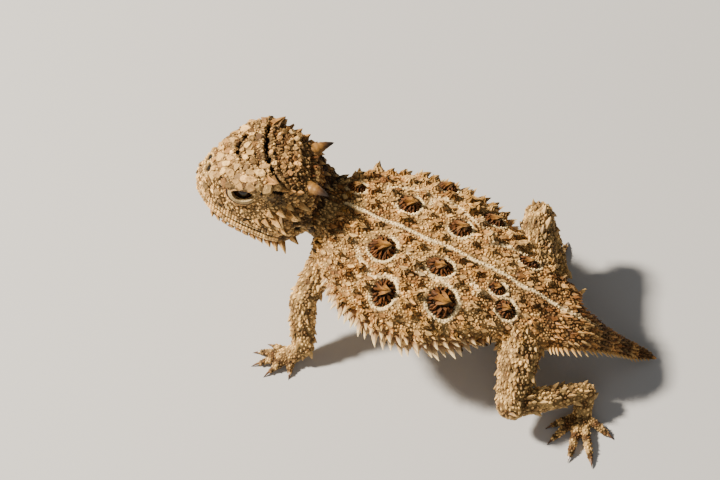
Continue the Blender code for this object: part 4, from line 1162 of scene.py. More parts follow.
class Workshop:
    """Turns arrays in the maker's frame into dressed pieces that ride on the body."""

    def __init__(self, head: Head) -> None:
        """Finds the shift between the maker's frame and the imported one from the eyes.

        Args:
            head: The head, whose eyes are looked for.
        """
        middles = [np.mean(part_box(f"eye_{side.word}"), axis=0) / MM for side in Side]
        eyes = [head.out(head.eye, side) for side in Side]
        self.shift = np.mean(middles, axis=0) - np.mean(eyes, axis=0)
        self.shift[2] = 0.0
        self.surfaces = {finish: finish.value.make() for finish in Finishes}

    def mesh(self, name: str, verts: Array, faces: Array) -> bpy.types.Object:
        """A plain mesh object from points in millimetres and faces of equal corners.

        Args:
            name: Name of the piece.
            verts: Points in millimetres.
            faces: Rows of point numbers.

        Returns:
            The new object.
        """
        mesh = bpy.data.meshes.new(name)
        sides = faces.shape[1]
        mesh.vertices.add(len(verts))
        above = np.maximum(verts, (-np.inf, -np.inf, 0.0))
        mesh.vertices.foreach_set("co", ((above + self.shift) * MM).ravel())
        mesh.loops.add(faces.size)
        mesh.loops.foreach_set("vertex_index", faces.ravel())
        mesh.polygons.add(len(faces))
        mesh.polygons.foreach_set("loop_start", np.arange(0, faces.size, sides))
        mesh.update(calc_edges=True)
        mesh.shade_smooth()
        piece = bpy.data.objects.new(name, mesh)
        bpy.context.scene.collection.objects.link(piece)
        return piece

    def dress(self, piece: bpy.types.Object, finish: Finishes, tint: Array,
              layout: Array, slot: Slot = Slot.SKIN) -> None:
        """Paint a piece and let it ride.

        Args:
            piece: The piece.
            finish: Its surface.
            tint: Linear colour of each vertex.
            layout: Place of each vertex on the unwrap, or of each loop where there are more.
            slot: The slot it belongs to; not used.
        """
        mesh = piece.data
        paint = mesh.color_attributes.new("hide", "FLOAT_COLOR", "POINT")
        paint.data.foreach_set("color", np.column_stack((tint, np.ones(len(tint)))).ravel())
        if len(layout) == len(mesh.vertices):
            layout = layout[mesh_values(mesh.loops, "vertex_index", 1, int)[:, 0]]
        unwrap = mesh.uv_layers.new(name="OFBake")
        unwrap.data.foreach_set("uv", layout.ravel())
        mesh.materials.append(self.surfaces[finish])
        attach(piece, BODY)
        log.info("%s: %d faces", piece.name, len(mesh.polygons))


@dataclass(frozen=True, eq=False)
class Stamp:
    """Unit form of a scale: corners as lengthwise, sideways and upward shares."""

    corners: Array
    faces: Array
    level: Array

    @staticmethod
    def rings(levels: list[Point], sides: int, keel: float = 0.0) -> "Stamp":
        """Stack of rings closed by a point.

        Args:
            levels: Radius, height and backward shift of each ring; the last is the point.
            sides: Corners of each ring.
            keel: How far every other corner is drawn in.

        Returns:
            The stamp, open underneath.
        """
        turn = full_turn(sides)
        drawn = 1 - keel * (np.arange(sides) % 2)
        corners = []
        for radius, height, shift in levels[:-1]:
            corners.extend(np.column_stack((radius * drawn * np.cos(turn) + shift,
                                            radius * drawn * np.sin(turn), np.full(sides, height))))
        _, height, shift = levels[-1]
        corners.append((shift, 0.0, height))
        corners = np.array(corners)
        around = walls(len(levels) - 1, sides)[:, (0, 1, 2, 0, 2, 3)].reshape(-1, 3)
        cap = fan((len(levels) - 2) * sides, sides, len(corners) - 1)
        return Stamp(corners, np.concatenate((around, cap)), np.clip(corners[:, 2], 0, 1))


class Form(Enum):
    """The shapes that scales and spines take."""

    BEAD = Stamp.rings([(1.0, -0.4, 0.0), (0.7, 0.6, 0.04), (0.0, 1.0, 0.08)], 5)
    DOME = Stamp.rings([(1.0, -0.4, 0.0), (0.8, 0.5, 0.05), (0.0, 1.0, 0.2)], 7, 0.1)
    KEELED = Stamp.rings([(1.0, -0.4, 0.0), (0.7, 0.45, 0.2), (0.0, 1.0, 0.8)], 8, 0.2)
    PYRAMID = Stamp.rings([(1.0, -0.3, 0.0), (0.8, 0.2, 0.02), (0.45, 0.6, 0.1),
                           (0.16, 0.9, 0.2), (0.0, 1.0, 0.25)], 8, 0.2)
    LIMPET = Stamp.rings([(1.0, -0.25, 0.0), (0.76, 0.2, 0.04), (0.5, 0.48, 0.14),
                          (0.25, 0.78, 0.3), (0.0, 1.0, 0.44)], 14, 0.46)
    BLADE = Stamp.rings([(1.0, -0.2, 0.0), (0.84, 0.15, 0.0), (0.56, 0.45, 0.06),
                         (0.26, 0.76, 0.2), (0.0, 1.0, 0.4)], 6, 0.15)
    TILE = Stamp.rings([(1.0, -0.5, 0.0), (0.9, 0.65, 0.0), (0.6, 1.0, 0.0), (0.0, 0.8, 0.0)], 7)
    THORN = Stamp.rings([(1.0, -0.25, 0.0), (0.84, 0.12, 0.02), (0.6, 0.42, 0.08),
                         (0.34, 0.72, 0.2), (0.14, 0.92, 0.32), (0.0, 1.0, 0.38)], 10, 0.14)
    CLAW = Stamp.rings([(1.0, -0.2, 0.0), (0.85, 0.25, 0.05), (0.6, 0.5, 0.2), (0.33, 0.78, 0.5),
                        (0.0, 1.0, 0.9)], 10)


@dataclass
class Batch:
    """Many scales of one form, gathered before they become one mesh."""

    form: Form
    dark_rear: float = 0.0
    jitter: float = 0.0
    root: list[Array] = field(default_factory=list)
    axes: list[Array] = field(default_factory=list)
    layout: list[Array] = field(default_factory=list)
    foot: list[Array] = field(default_factory=list)
    tip: list[Array] = field(default_factory=list)

    def add(self, sites: Sites, aim: Array, back: Array, length: Array | float, width: Array | float,
            height: Array | float, foot: Array, tip: Array) -> None:
        """Add one scale at each site.

        Args:
            sites: Their roots.
            aim: Direction each stands in.
            back: Direction each leans or bends in.
            length: Half size along the lean, in millimetres.
            width: Half size across it.
            height: How far it stands.
            foot: Linear colour at the root.
            tip: Linear colour at the point.
        """
        count = len(sites.place)
        up = unit(np.broadcast_to(aim, (count, 3)))
        ahead = back - (back * up).sum(-1, keepdims=True) * up
        ahead = unit(np.broadcast_to(ahead, (count, 3)))
        across = np.cross(up, ahead)
        sizes = [np.broadcast_to(np.asarray(v, float), (count,))[:, None]
                 for v in (length, width, height)]
        self.root.append(sites.place)
        self.axes.append(np.stack((ahead * sizes[0], across * sizes[1], up * sizes[2]), axis=1))
        self.layout.append(sites.layout)
        self.foot.append(np.broadcast_to(foot, (count, 3)))
        self.tip.append(np.broadcast_to(tip, (count, 3)))

    def make(self, workshop: Workshop, name: str, finish: Finishes) -> None:
        """Join the scales into one dressed mesh.

        Args:
            workshop: Makes and dresses the mesh.
            name: Name of the piece.
            finish: Its surface.
        """
        stamp = self.form.value
        root, axes, layout, foot, tip = [np.concatenate(v) for v in (
            self.root, self.axes, self.layout, self.foot, self.tip)]
        count, corners = len(root), len(stamp.corners)
        uneven = np.random.default_rng(count).normal(0, self.jitter, (count, corners, 3))
        uneven[:, -1] *= 0.4
        verts = root[:, None, :] + np.einsum("nkc,ncd->nkd", stamp.corners + uneven, axes)
        faces = stamp.faces[None] + (np.arange(count) * corners)[:, None, None]
        level = stamp.level[None, :, None]
        tint = foot[:, None, :] * (1 - level) + tip[:, None, :] * level
        # painted shade: each piece is darkened on its rear side, away from the key light
        tint *= 1 - self.dark_rear * ease(stamp.corners[None, :, :1], -0.05, 0.3)
        patch = layout[:, None, :] + 0.5 * PATCH * np.clip(stamp.corners[None, :, :2], -1, 1)
        piece = workshop.mesh(name, verts.reshape(-1, 3), faces.reshape(-1, 3))
        piece.data.shade_flat()
        workshop.dress(piece, finish, tint.reshape(-1, 3), patch.reshape(-1, 2))


@dataclass
class Hide:
    """One skin over head, neck, trunk, tail and legs, and the sites on it."""

    head: Head
    trunk: Trunk
    mounds: Mounds
    parts: list[Part]
    voxel: float = 0.25
    tiles_across: int = 10
    shade: float = 0.3
    floor_gap: float = 0.02
    ray_start: float = 40.0
    socket_radius: float = 1.98
    depth_of_cracks: Pair = (0.75, 0.5)
    size_of_pits: Pair = (0.5, 0.6)
    depth_of_pits: Pair = (0.34, 0.6)
    verts: Array = field(init=False)
    normals: Array = field(init=False)
    owner: Array = field(init=False)
    faces: Array = field(init=False)
    triangles: Array = field(init=False)
    tree: BVHTree = field(init=False)

    def __post_init__(self) -> None:
        """Gives each part its own square of the unwrap."""
        cell = 1 / self.tiles_across
        small = 0
        for part in self.parts:
            if part.region == Region.TRUNK:
                part.tile = (0.0, 0.0, 5 * cell)
            elif part.region == Region.HEAD:
                part.tile = (5 * cell, 0.0, 5 * cell)
            elif part.region in (Region.NECK, Region.TAIL):
                part.tile = (2 * cell * (part.region - Region.NECK), 5 * cell, 2 * cell)
            else:
                row, column = divmod(small, 6)
                part.tile = ((4 + column) * cell, (5 + row) * cell, cell)
                if row > 1:
                    row, column = divmod(small - 12, 10)
                    part.tile = (column * cell, (7 + row) * cell, cell)
                small += 1

    def rough(self, workshop: Workshop) -> bpy.types.Object:
        """All lofts in one mesh, with the eye hollows cut from the head.

        Args:
            workshop: Makes the meshes.

        Returns:
            The joined object.
        """
        objects = []
        for part in self.parts:
            stations, sides = part.rings.shape[:2]
            verts = np.concatenate((part.rings.reshape(-1, 3), part.rings[0].mean(0)[None],
                                    part.rings[-1].mean(0)[None]))
            around, start = walls(stations, sides), stations * sides
            triangles = np.concatenate((around[:, (0, 1, 2)], around[:, (0, 2, 3)],
                                        fan(0, sides, start)[:, (1, 0, 2)],
                                        fan(start - sides, sides, start + 1)))
            objects.append(workshop.mesh(part.name, verts, triangles[:, ::-1]))
        head = objects[[part.region for part in self.parts].index(Region.HEAD)]
        for side in Side:
            self.hollow(workshop, head, side)
        with bpy.context.temp_override(active_object=objects[0], selected_editable_objects=objects,
                                       selected_objects=objects):
            bpy.ops.object.join()
        return objects[0]

    def hollow(self, workshop: Workshop, head: bpy.types.Object, side: Side) -> None:
        """Cut the room for one eyeball from the head.

        Args:
            workshop: Knows the shift between the frames.
            head: The head's loft.
            side: Which eye.
        """
        bpy.ops.mesh.primitive_uv_sphere_add(segments=32, ring_count=20, radius=self.socket_radius * MM)
        ball = bpy.context.object
        ball.location = Vector((self.head.out(self.head.eye, side) + workshop.shift) * MM)
        bpy.context.view_layer.update()
        cut = head.modifiers.new("hollow", "BOOLEAN")
        cut.operation = "DIFFERENCE"
        cut.object = ball
        self.apply(head)
        bpy.data.objects.remove(ball)

    @staticmethod
    def apply(piece: bpy.types.Object) -> None:
        """Keep the mesh that a piece's modifiers make, and drop them.

        Args:
            piece: The piece.
        """
        graph = bpy.context.evaluated_depsgraph_get()
        shape = bpy.data.meshes.new_from_object(piece.evaluated_get(graph))
        piece.modifiers.clear()
        piece.data = shape

    def build(self, workshop: Workshop, markings: Markings) -> None:
        """Make the finished skin, and note what the scales need to know of it.

        Args:
            workshop: Makes and dresses the mesh.
            markings: Colours of the hide.
        """
        skin = self.rough(workshop)
        skin.name = "skin"
        remesh = skin.modifiers.new("one_skin", "REMESH")
        remesh.mode = "VOXEL"
        remesh.voxel_size = self.voxel * MM
        smooth = skin.modifiers.new("soften", "SMOOTH")
        smooth.factor = 0.5
        smooth.iterations = 5
        self.apply(skin)
        mesh = skin.data
        verts = mesh_values(mesh.vertices, "co", 3, float) / MM - workshop.shift
        lofts = [part.rings.reshape(-1, 3) for part in self.parts]
        tree = search_tree(np.concatenate(lofts))
        labels = np.repeat(np.arange(len(lofts)), [len(loft) for loft in lofts])
        owner = labels[[tree.find(place)[1] for place in verts]]
        normals = mesh_values(mesh.vertices, "normal", 3, float)
        verts = verts + normals * self.relief(verts, normals, owner, markings)[:, None]
        verts[:, 2] = np.maximum(verts[:, 2], self.floor_gap)
        mesh.vertices.foreach_set("co", ((verts + workshop.shift) * MM).ravel())
        mesh.update()
        mesh.shade_smooth()
        self.verts, self.owner = verts, owner
        self.normals = mesh_values(mesh.vertices, "normal", 3, float)
        self.faces = mesh_values(mesh.loops, "vertex_index", 1, int).reshape(-1, 4)
        self.triangles = np.concatenate((self.faces[:, (0, 1, 2)], self.faces[:, (0, 2, 3)]))
        self.tree = BVHTree.FromPolygons(verts.tolist(), self.faces.tolist())
        painted = self.sites(verts, self.normals, owner)
        layout = self.unwrap()
        # the skin shows in the clefts between scales, so it is darkened there as painted shade
        workshop.dress(skin, Finishes.SKIN, paint_cleft_shade(markings.paint(painted), self.shade), layout)
        nodes = [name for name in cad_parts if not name.startswith(("eye", "horn"))]
        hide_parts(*nodes)

    def relief(self, verts: Array, normals: Array, owner: Array, markings: Markings) -> Array:
        """How far each vertex of the skin is raised or sunk.

        Args:
            verts: Places on the smooth skin.
            normals: Its direction at each.
            owner: Number of the part that each belongs to.
            markings: Where spots and furrows lie.

        Returns:
            The rise in millimetres.
        """
        regions = np.array([part.region for part in self.parts])[owner]
        rise = 0.12 * (mottle(verts, 1.1, 61) - 0.5)
        trunk = (regions == Region.TRUNK) & (normals[:, 2] > 0)
        for spot in markings.spots:
            reach = spot.reach(verts)
            rise += trunk * (0.3 * bell(reach * 1.2) + 0.16 * bell(reach - 1.2, 0.12)
                             - 0.16 * bell(reach - 0.92, 0.12))
        rise += trunk * 0.1 * bell(off_midline(verts), 0.3)
        rise -= trunk * 0.12 * bell(off_midline(verts) - 0.7, 0.3)
        flanks = (regions == Region.TRUNK) & (normals[:, 2] > -0.2)
        rise[flanks] += self.mounds.rise(verts[flanks])
        local = self.head.into(verts)
        x, y, z = local.T
        head = regions == Region.HEAD
        crown = head & (normals[:, 2] > 0.25)
        for away, depth in zip(self.head.cracks(local), self.depth_of_cracks):
            rise -= crown * depth * bell(away, 0.27)
            rise += crown * 0.3 * depth * bell(away - 0.7, 0.35)
        brow = z - self.head.brow_line(x)
        ledge = head * ease(x, 3.6, 4.6) * ease(x, 12.8, 11.8) * ease(normals[:, 2], 0.9, 0.75)
        rise -= ledge * 0.55 * bell(brow, 0.34)
        rise += ledge * 0.4 * bell(brow - 0.75, 0.38)
        rows = np.sin(markings.wrinkle * (x - self.head.crack(y)) + 3 * mottle(verts, 1.5, 34))
        rise -= crown * 0.12 * rows
        side = head & (np.abs(normals[:, 2]) < 0.75) & (x > self.head.mouth_corner)
        rise -= side * 0.34 * bell(z - self.head.mouth_height(x), 0.22) \
            * ease(x, self.head.mouth_corner, self.head.mouth_corner + 1)
        for away, size, depth in zip(self.head.pits(local), self.size_of_pits, self.depth_of_pits):
            rise -= head * depth * bell(away, size)
            rise += head * 0.3 * depth * bell(away - 1.7 * size, 0.5 * size)
        neck = regions == Region.NECK
        return rise + neck * 0.18 * np.sin(verts[:, 0] * 3.2 + 0.3 * verts[:, 1])

    def unwrap(self) -> Array:
        """Place of each loop of the skin on the unwrap, part by part.

        Returns:
            One place for each loop.
        """
        layout = np.zeros((len(self.faces), 4, 2))
        face_owner = self.owner[self.faces[:, 0]]
        for i, part in enumerate(self.parts):
            mine = self.faces[face_owner == i]
            if not len(mine):
                continue
            shares = part.lay_out(self.verts[mine.ravel()], self.normals[mine.ravel()])
            shares = shares.reshape(-1, 4, 2)
            around = shares[:, :, 0]
            split = (around.max(1) - around.min(1)) > 0.5
            around[split[:, None] & (around < 0.5)] += 1
            layout[face_owner == i] = part.on_tile(shares)
        return layout.reshape(-1, 2)

    def sites(self, place: Array, normal: Array, owner: Array) -> Sites:
        """What is known of places on the skin that belong to the given parts.

        Args:
            place: Places on the skin.
            normal: Its direction at each.
            owner: Number of the part that each belongs to.

        Returns:
            The sites.
        """
        count = len(place)
        lie, layout, along = np.zeros((count, 3)), np.zeros((count, 2)), np.zeros(count)
        region = np.zeros(count, int)
        for i, part in enumerate(self.parts):
            mine = owner == i
            if not mine.any():
                continue
            along[mine], _, axis = part.locate(place[mine])
            n = normal[mine]
            lie[mine] = unit(axis - (axis * n).sum(1, keepdims=True) * n)
            layout[mine] = part.on_tile(part.lay_out(place[mine], n))
            region[mine] = part.region
        return Sites(place, normal, lie, layout, region, along)

    def scatter(self, density: float, seed: int) -> Sites:
        """Random sites all over the skin, that many to a square millimetre.

        Args:
            density: Sites to a square millimetre.
            seed: Picks one pattern.

        Returns:
            The sites in random order.
        """
        draw = np.random.default_rng(seed)
        a, b, c = (self.verts[self.triangles[:, k]] for k in range(3))
        area = 0.5 * np.linalg.norm(np.cross(b - a, c - a), axis=1)
        pick = draw.choice(len(area), int(area.sum() * density), p=area / area.sum())
        u, v = draw.random(len(pick)), draw.random(len(pick))
        over = u + v > 1
        u[over], v[over] = 1 - u[over], 1 - v[over]
        weights = np.stack((1 - u - v, u, v), axis=1)
        corners = self.triangles[pick]
        place = (self.verts[corners] * weights[:, :, None]).sum(1)
        normal = unit((self.normals[corners] * weights[:, :, None]).sum(1))
        return self.sites(place, normal, self.owner[corners[:, 0]])

    def nearest(self, places: Array) -> Sites:
        """The sites on the skin nearest to one or many points in millimetres."""
        return self.at_hits([self.tree.find_nearest(Vector(p)) for p in np.atleast_2d(places)])

    def below(self, places: Array) -> Sites:
        """The sites on the skin straight under rows of x and y."""
        down = Vector((0.0, 0.0, -1.0))
        return self.at_hits([self.tree.ray_cast(Vector((x, y, self.ray_start)), down)
                             for x, y in places])

    def at_hits(self, hits: list[tuple[Vector, Vector, int, float]]) -> Sites:
        """The sites that the skin's search tree has found."""
        place, normal, face = (np.array([hit[k] for hit in hits]) for k in range(3))
        return self.sites(place, normal, self.owner[self.faces[face, 0]])


@dataclass(frozen=True)
class Layer:
    """One size class of scales all over the animal, spaced by the number of each region."""

    name: str
    form: Form
    spacing: tuple[float, ...]
    width: float
    height: float
    lean: float
    seed: int
    spot_room: float = 0.0
    line_room: float = 0.0
    lighter_tip: float = 0.25


@dataclass
class Coat:
    """Scales of the whole animal, from the large spines down to the granules."""

    hide: Hide
    markings: Markings
    workshop: Workshop
    taken: list[Array] = field(default_factory=list)
    rooms: list[Array] = field(default_factory=list)
    cream_from: float = 0.58
    layers: tuple[Layer, ...] = (
        Layer("pointed_scales", Form.KEELED, (1.35, 1.0, 1.0, 0.9, 1.0, 1.0, 0.8, 0.0),
              0.34, 0.4, 0.4, 71, 1.45, 0.75),
        Layer("small_scales", Form.DOME, (0.54, 0.56, 0.66, 0.56, 0.58, 0.6, 0.46, 0.4),
              0.46, 0.42, 0.15, 72, 1.3, 0.55),
        Layer("granules", Form.BEAD, (0.31, 0.32, 0.34, 0.34, 0.34, 0.34, 0.3, 0.28),
              0.5, 0.5, 0.05, 73))

    def reserve(self, places: Array, room: float | Array) -> None:
        """Keep smaller scales off the given places."""
        self.taken.append(places)
        self.rooms.append(np.broadcast_to(np.asarray(room, float), (len(places),)))

    def free(self, sites: Sites, own: Array) -> Array:
        """Whether each site stands clear of all that is already rooted.

        Args:
            sites: Candidates.
            own: Room that each needs for itself.

        Returns:
            True where a scale fits.
        """
        places, rooms = np.concatenate(self.taken), np.concatenate(self.rooms)
        tree = search_tree(places)
        clear = []
        for place, radius in zip(sites.place.tolist(), own.tolist()):
            _, i, gap = tree.find(place)
            clear.append(gap > rooms[i] + radius)
        return np.array(clear)

    def spacing(self, layer: Layer, sites: Sites) -> Array:
        """Room that a layer's scales take at each site; none where they don't grow.

        Args:
            layer: The size class.
            sites: Candidates.

        Returns:
            The room of each.
        """
        space = np.array(layer.spacing)[sites.region]
        under = (sites.normal[:, 2] < -0.15) & (sites.region != Region.DIGIT)
        space[self.bare(sites, layer.width * layer.spacing[Region.HEAD])] = 0
        back = sites.region == Region.TRUNK
        for spot in self.markings.spots:
            space[back & (spot.reach(sites.place) < layer.spot_room)] = 0
        space[back & (off_midline(sites.place) < layer.line_room)] = 0
        if layer.form is Form.KEELED:
            space[under | (sites.region == Region.HEAD) & (sites.normal[:, 2] > 0.35)] = 0
        elif layer.form is Form.BEAD:
            space[under] *= 1.5
        return space

    def bare(self, sites: Sites, room: float) -> Array:
        """Whether scales of that half width would reach into a furrow, nostril, ear or mouth.

        Args:
            sites: Candidates.
            room: Half width in millimetres.

        Returns:
            True where no scale may grow.
        """
        head = self.hide.head
        local = head.into(sites.place)
        x, _, z = local.T
        long_crack, short_crack = head.cracks(local)
        bare = (sites.normal[:, 2] > 0.1) & ((long_crack < 0.2 + room) | (short_crack < 0.18 + room))
        bare |= (np.abs(z - head.brow_line(x)) < 0.14 + room) & (x > 4.2) & (x < 11.6)
        bare |= (np.abs(z - head.mouth_height(x)) < 0.13) & (x > head.mouth_corner)
        for away, size in zip(head.pits(local), (0.76, 0.4)):
            bare |= away < size + room
        return bare & (sites.region == Region.HEAD)

    def grow(self) -> None:
        """Root every layer, the largest first."""
        for layer in self.layers:
            least = min(space for space in layer.spacing if space)
            sites = self.hide.scatter(1.9 / least ** 2, layer.seed)
            space = self.spacing(layer, sites)
            sites, space = sites.where(space > 0), space[space > 0]
            clear = self.free(sites, layer.width * space * 0.8)
            if layer.form is Form.KEELED:
                clear &= self.markings.paint(sites) @ LIGHTNESS < self.cream_from
            sites, space = sites.where(clear), space[clear]
            kept = thin(sites.place, space)
            self.stamp(layer, sites.where(kept), space[kept])

    def stamp(self, layer: Layer, sites: Sites, space: Array) -> None:
        """Make the scales of one layer, in pieces small enough for the export.

        Args:
            layer: The size class.
            sites: Roots of its scales.
            space: Room of each.
        """
        draw = np.random.default_rng(layer.seed + 100)
        size = space * draw.uniform(0.75, 1.2, len(space))
        paint = self.markings.paint(sites) * draw.uniform(0.65, 1.2, len(space))[:, None]
        self.reserve(sites.place, layer.width * size * 0.95)
        flat = np.where(sites.normal[:, 2] < -0.1, 0.4, 1.0)
        groups = {"trunk": (Region.TRUNK, Region.NECK), "head": (Region.HEAD,),
                  "limbs": (Region.TAIL, Region.ARM, Region.LEG, Region.PALM, Region.DIGIT)}
        for name, regions in groups.items():
            mine = np.isin(sites.region, regions)
            if not mine.any():
                continue
            here = sites.where(mine)
            wide = layer.width * size[mine]
            batch = Batch(layer.form, jitter=0.11)
            tip = paint[mine] * (1 + layer.lighter_tip)
            # each scale's foot is darkened as painted shade of the cleft round it
            batch.add(here, here.normal + layer.lean * here.lie * flat[mine][:, None], here.lie,
                      wide * 1.15, wide, layer.height * size[mine] * flat[mine],
                      paint_cleft_shade(paint[mine], 0.32), tip)
            batch.make(self.workshop, f"{layer.name}_{name}", Finishes.SCALE)


@dataclass
class BackSpines:
    """Rosettes in the dark spots, and the crowned mounds between them."""

    coat: Coat
    spot_rings: tuple[tuple[float, int, float], ...] = ((0.7, 12, 0.16), (0.9, 18, 0.11))
    mound_ring: int = 8

    def build(self) -> None:
        """Root the rosettes and the mounds' scales."""
        draw = np.random.default_rng(81)
        # both batches take painted shade on each piece's rear side
        cones = Batch(Form.LIMPET, dark_rear=0.9, jitter=0.06)
        scales = Batch(Form.KEELED, dark_rear=0.4, jitter=0.08)
        self.rosettes(cones, scales, draw)
        self.mounds(cones, scales, draw)
        cones.make(self.coat.workshop, "back_spines", Finishes.SCALE)
        scales.make(self.coat.workshop, "rosette_scales", Finishes.SCALE)

    def ring(self, batch: Batch, centre: Array, half: Array, share: float, count: int, size: float,
             tones: tuple[Array, Array], draw: np.random.Generator) -> None:
        """Add a ring of long scales that point at a centre.

        Args:
            batch: Where they are gathered.
            centre: The centre's x and y.
            half: Half sizes of the whole rosette along x and y.
            share: Radius of the ring as a share of the rosette.
            count: Number of scales.
            size: Half width of a scale in millimetres.
            tones: Colours at root and point.
            draw: Source of their variation.
        """
        hide = self.coat.hide
        turn = full_turn(count) + draw.uniform(0, 2)
        turn += draw.normal(0, 0.07, count)
        offset = np.column_stack((np.cos(turn) * half[0], np.sin(turn) * half[1]))
        vary = draw.uniform(0.82, 1.18, count)
        sites = hide.below(centre + offset * share * draw.uniform(0.94, 1.06, (count, 1)))
        out = unit(np.column_stack((offset, np.zeros(count))))
        tone = draw.uniform(0.6, 1.25, count)[:, None]
        batch.add(sites, sites.normal + 0.15 * out + 0.2 * sites.lie, -out, size * vary * 2.3,
                  size * vary, size * 1.8 * vary, tones[0] * tone, tones[1] * tone)
        self.coat.reserve(sites.place, size * 0.9)

    def rosettes(self, cones: Batch, scales: Batch, draw: np.random.Generator) -> None:
        """One large fluted cone in each spot, inside rings of brown scales.

        Args:
            cones: Gathers the cones.
            scales: Gathers the rings.
            draw: Source of their variation.
        """
        hide, marks = self.coat.hide, self.coat.markings
        for spot in marks.spots:
            size = min(spot.half_x, spot.half_y)
            centre = hide.below(np.array([(spot.x, spot.y)]))
            cones.add(centre, centre.normal + 0.5 * centre.lie, centre.lie, 0.78 * size,
                      0.68 * size, 0.95 * size, marks.brown * 0.5, marks.orange * 1.15)
            self.coat.reserve(centre.place, 0.5 * size)
            half = np.array((spot.half_x, spot.half_y))
            for share, count, scale in self.spot_rings:
                self.ring(scales, np.array((spot.x, spot.y)), half, share, count, scale * size,
                          (marks.brown * 0.3, marks.brown * 1.1), draw)

    def mounds(self, cones: Batch, scales: Batch, draw: np.random.Generator) -> None:
        """A spine on every mound, with a ring of ridged scales round its foot.

        Args:
            cones: Gathers the spines.
            scales: Gathers the rings.
            draw: Source of their variation.
        """
        hide, marks = self.coat.hide, self.coat.markings
        sites = hide.nearest(hide.mounds.place)
        size = hide.mounds.size
        tone = marks.paint(sites)
        warm = ease(mottle(sites.place, 2.6, 84), 0.35, 0.75)
        tone = washes(tone, (marks.orange, 0.75 * warm), (marks.brown, 0.15 * (1 - warm)))
        count = len(size)
        low = ease(sites.normal[:, 2], 0.6, 0.1)
        cones.add(sites, sites.normal + (0.65 - 0.3 * low)[:, None] * sites.lie, sites.lie, 0.68 * size,
                  0.56 * size, (1.05 + 0.35 * low) * size * draw.uniform(0.9, 1.25, count), tone * 0.55,
                  blend(tone, marks.pale, 0.5))
        self.coat.reserve(sites.place, 0.38 * size)
        for i in range(count):
            here = sites.where(slice(i, i + 1))
            across = np.cross(here.normal[0], here.lie[0])
            turn = full_turn(self.mound_ring)
            turn = turn + draw.uniform(0, 1) + draw.normal(0, 0.1, len(turn))
            out = np.outer(np.cos(turn), here.lie[0]) + np.outer(np.sin(turn), across)
            around = hide.nearest(here.place + 0.72 * size[i] * out)
            vary = draw.uniform(0.8, 1.2, len(turn)) * size[i]
            shade = tone[i] * draw.uniform(0.7, 1.2, (len(turn), 1))
            scales.add(around, around.normal + 0.1 * out, -out, 0.5 * vary, 0.25 * vary,
                       0.42 * vary, shade * 0.5, shade * 1.35)
            self.coat.reserve(around.place, 0.13 * size[i])


@dataclass
class Fringe:
    """Rows of flattened spines along each flank."""

    coat: Coat
    front: float = -15.6
    rear: float = 6.6
    rows: tuple[tuple[float, float, float, float, float], ...] = (
        (-0.2, 1.15, 2.1, 0.7, -0.42), (0.65, 1.25, 1.6, 0.6, -0.08),
        (1.5, 1.3, 1.2, 0.42, 0.3), (-0.95, 1.2, 0.8, 0.3, -0.75))

    def build(self) -> None:
        """Root every row; each holds its height, step, length, half width and droop."""
        hide, marks = self.coat.hide, self.coat.markings
        draw = np.random.default_rng(91)
        batch = Batch(Form.BLADE)
        for side in Side:
            for i, (height, step, length, wide, droop) in enumerate(self.rows):
                x = self.front + 0.5 * i
                while x < self.rear - 0.4 * i:
                    here, ahead = (hide.trunk.edge_point(v, side) for v in (x, x + 0.1))
                    way = unit(ahead - here)
                    out = unit(np.cross(way, UP)) * side
                    site = hide.nearest(here + UP * height + out * 0.2)
                    ends = min(1.0, 0.45 + 0.2 * min(x - self.front, self.rear - x))
                    size = ends * draw.uniform(0.85, 1.15)
                    aim = out + UP * (droop + draw.uniform(-0.12, 0.12)) \
                        + TAILWARD * draw.uniform(0.0, 0.4)
                    shade = draw.uniform(0.9, 1.05)
                    batch.add(site, aim, TAILWARD + UP * 0.15, wide * (0.5 + 0.5 * size),
                              wide * 0.62, length * size, marks.brown * shade,
                              (marks.cream if i != 2 else marks.pale) * shade)
                    self.coat.reserve(site.place, 0.22)
                    x += step * abs(way[0]) * draw.uniform(0.85, 1.15)
        batch.make(self.coat.workshop, "fringe_spines", Finishes.SPINE)


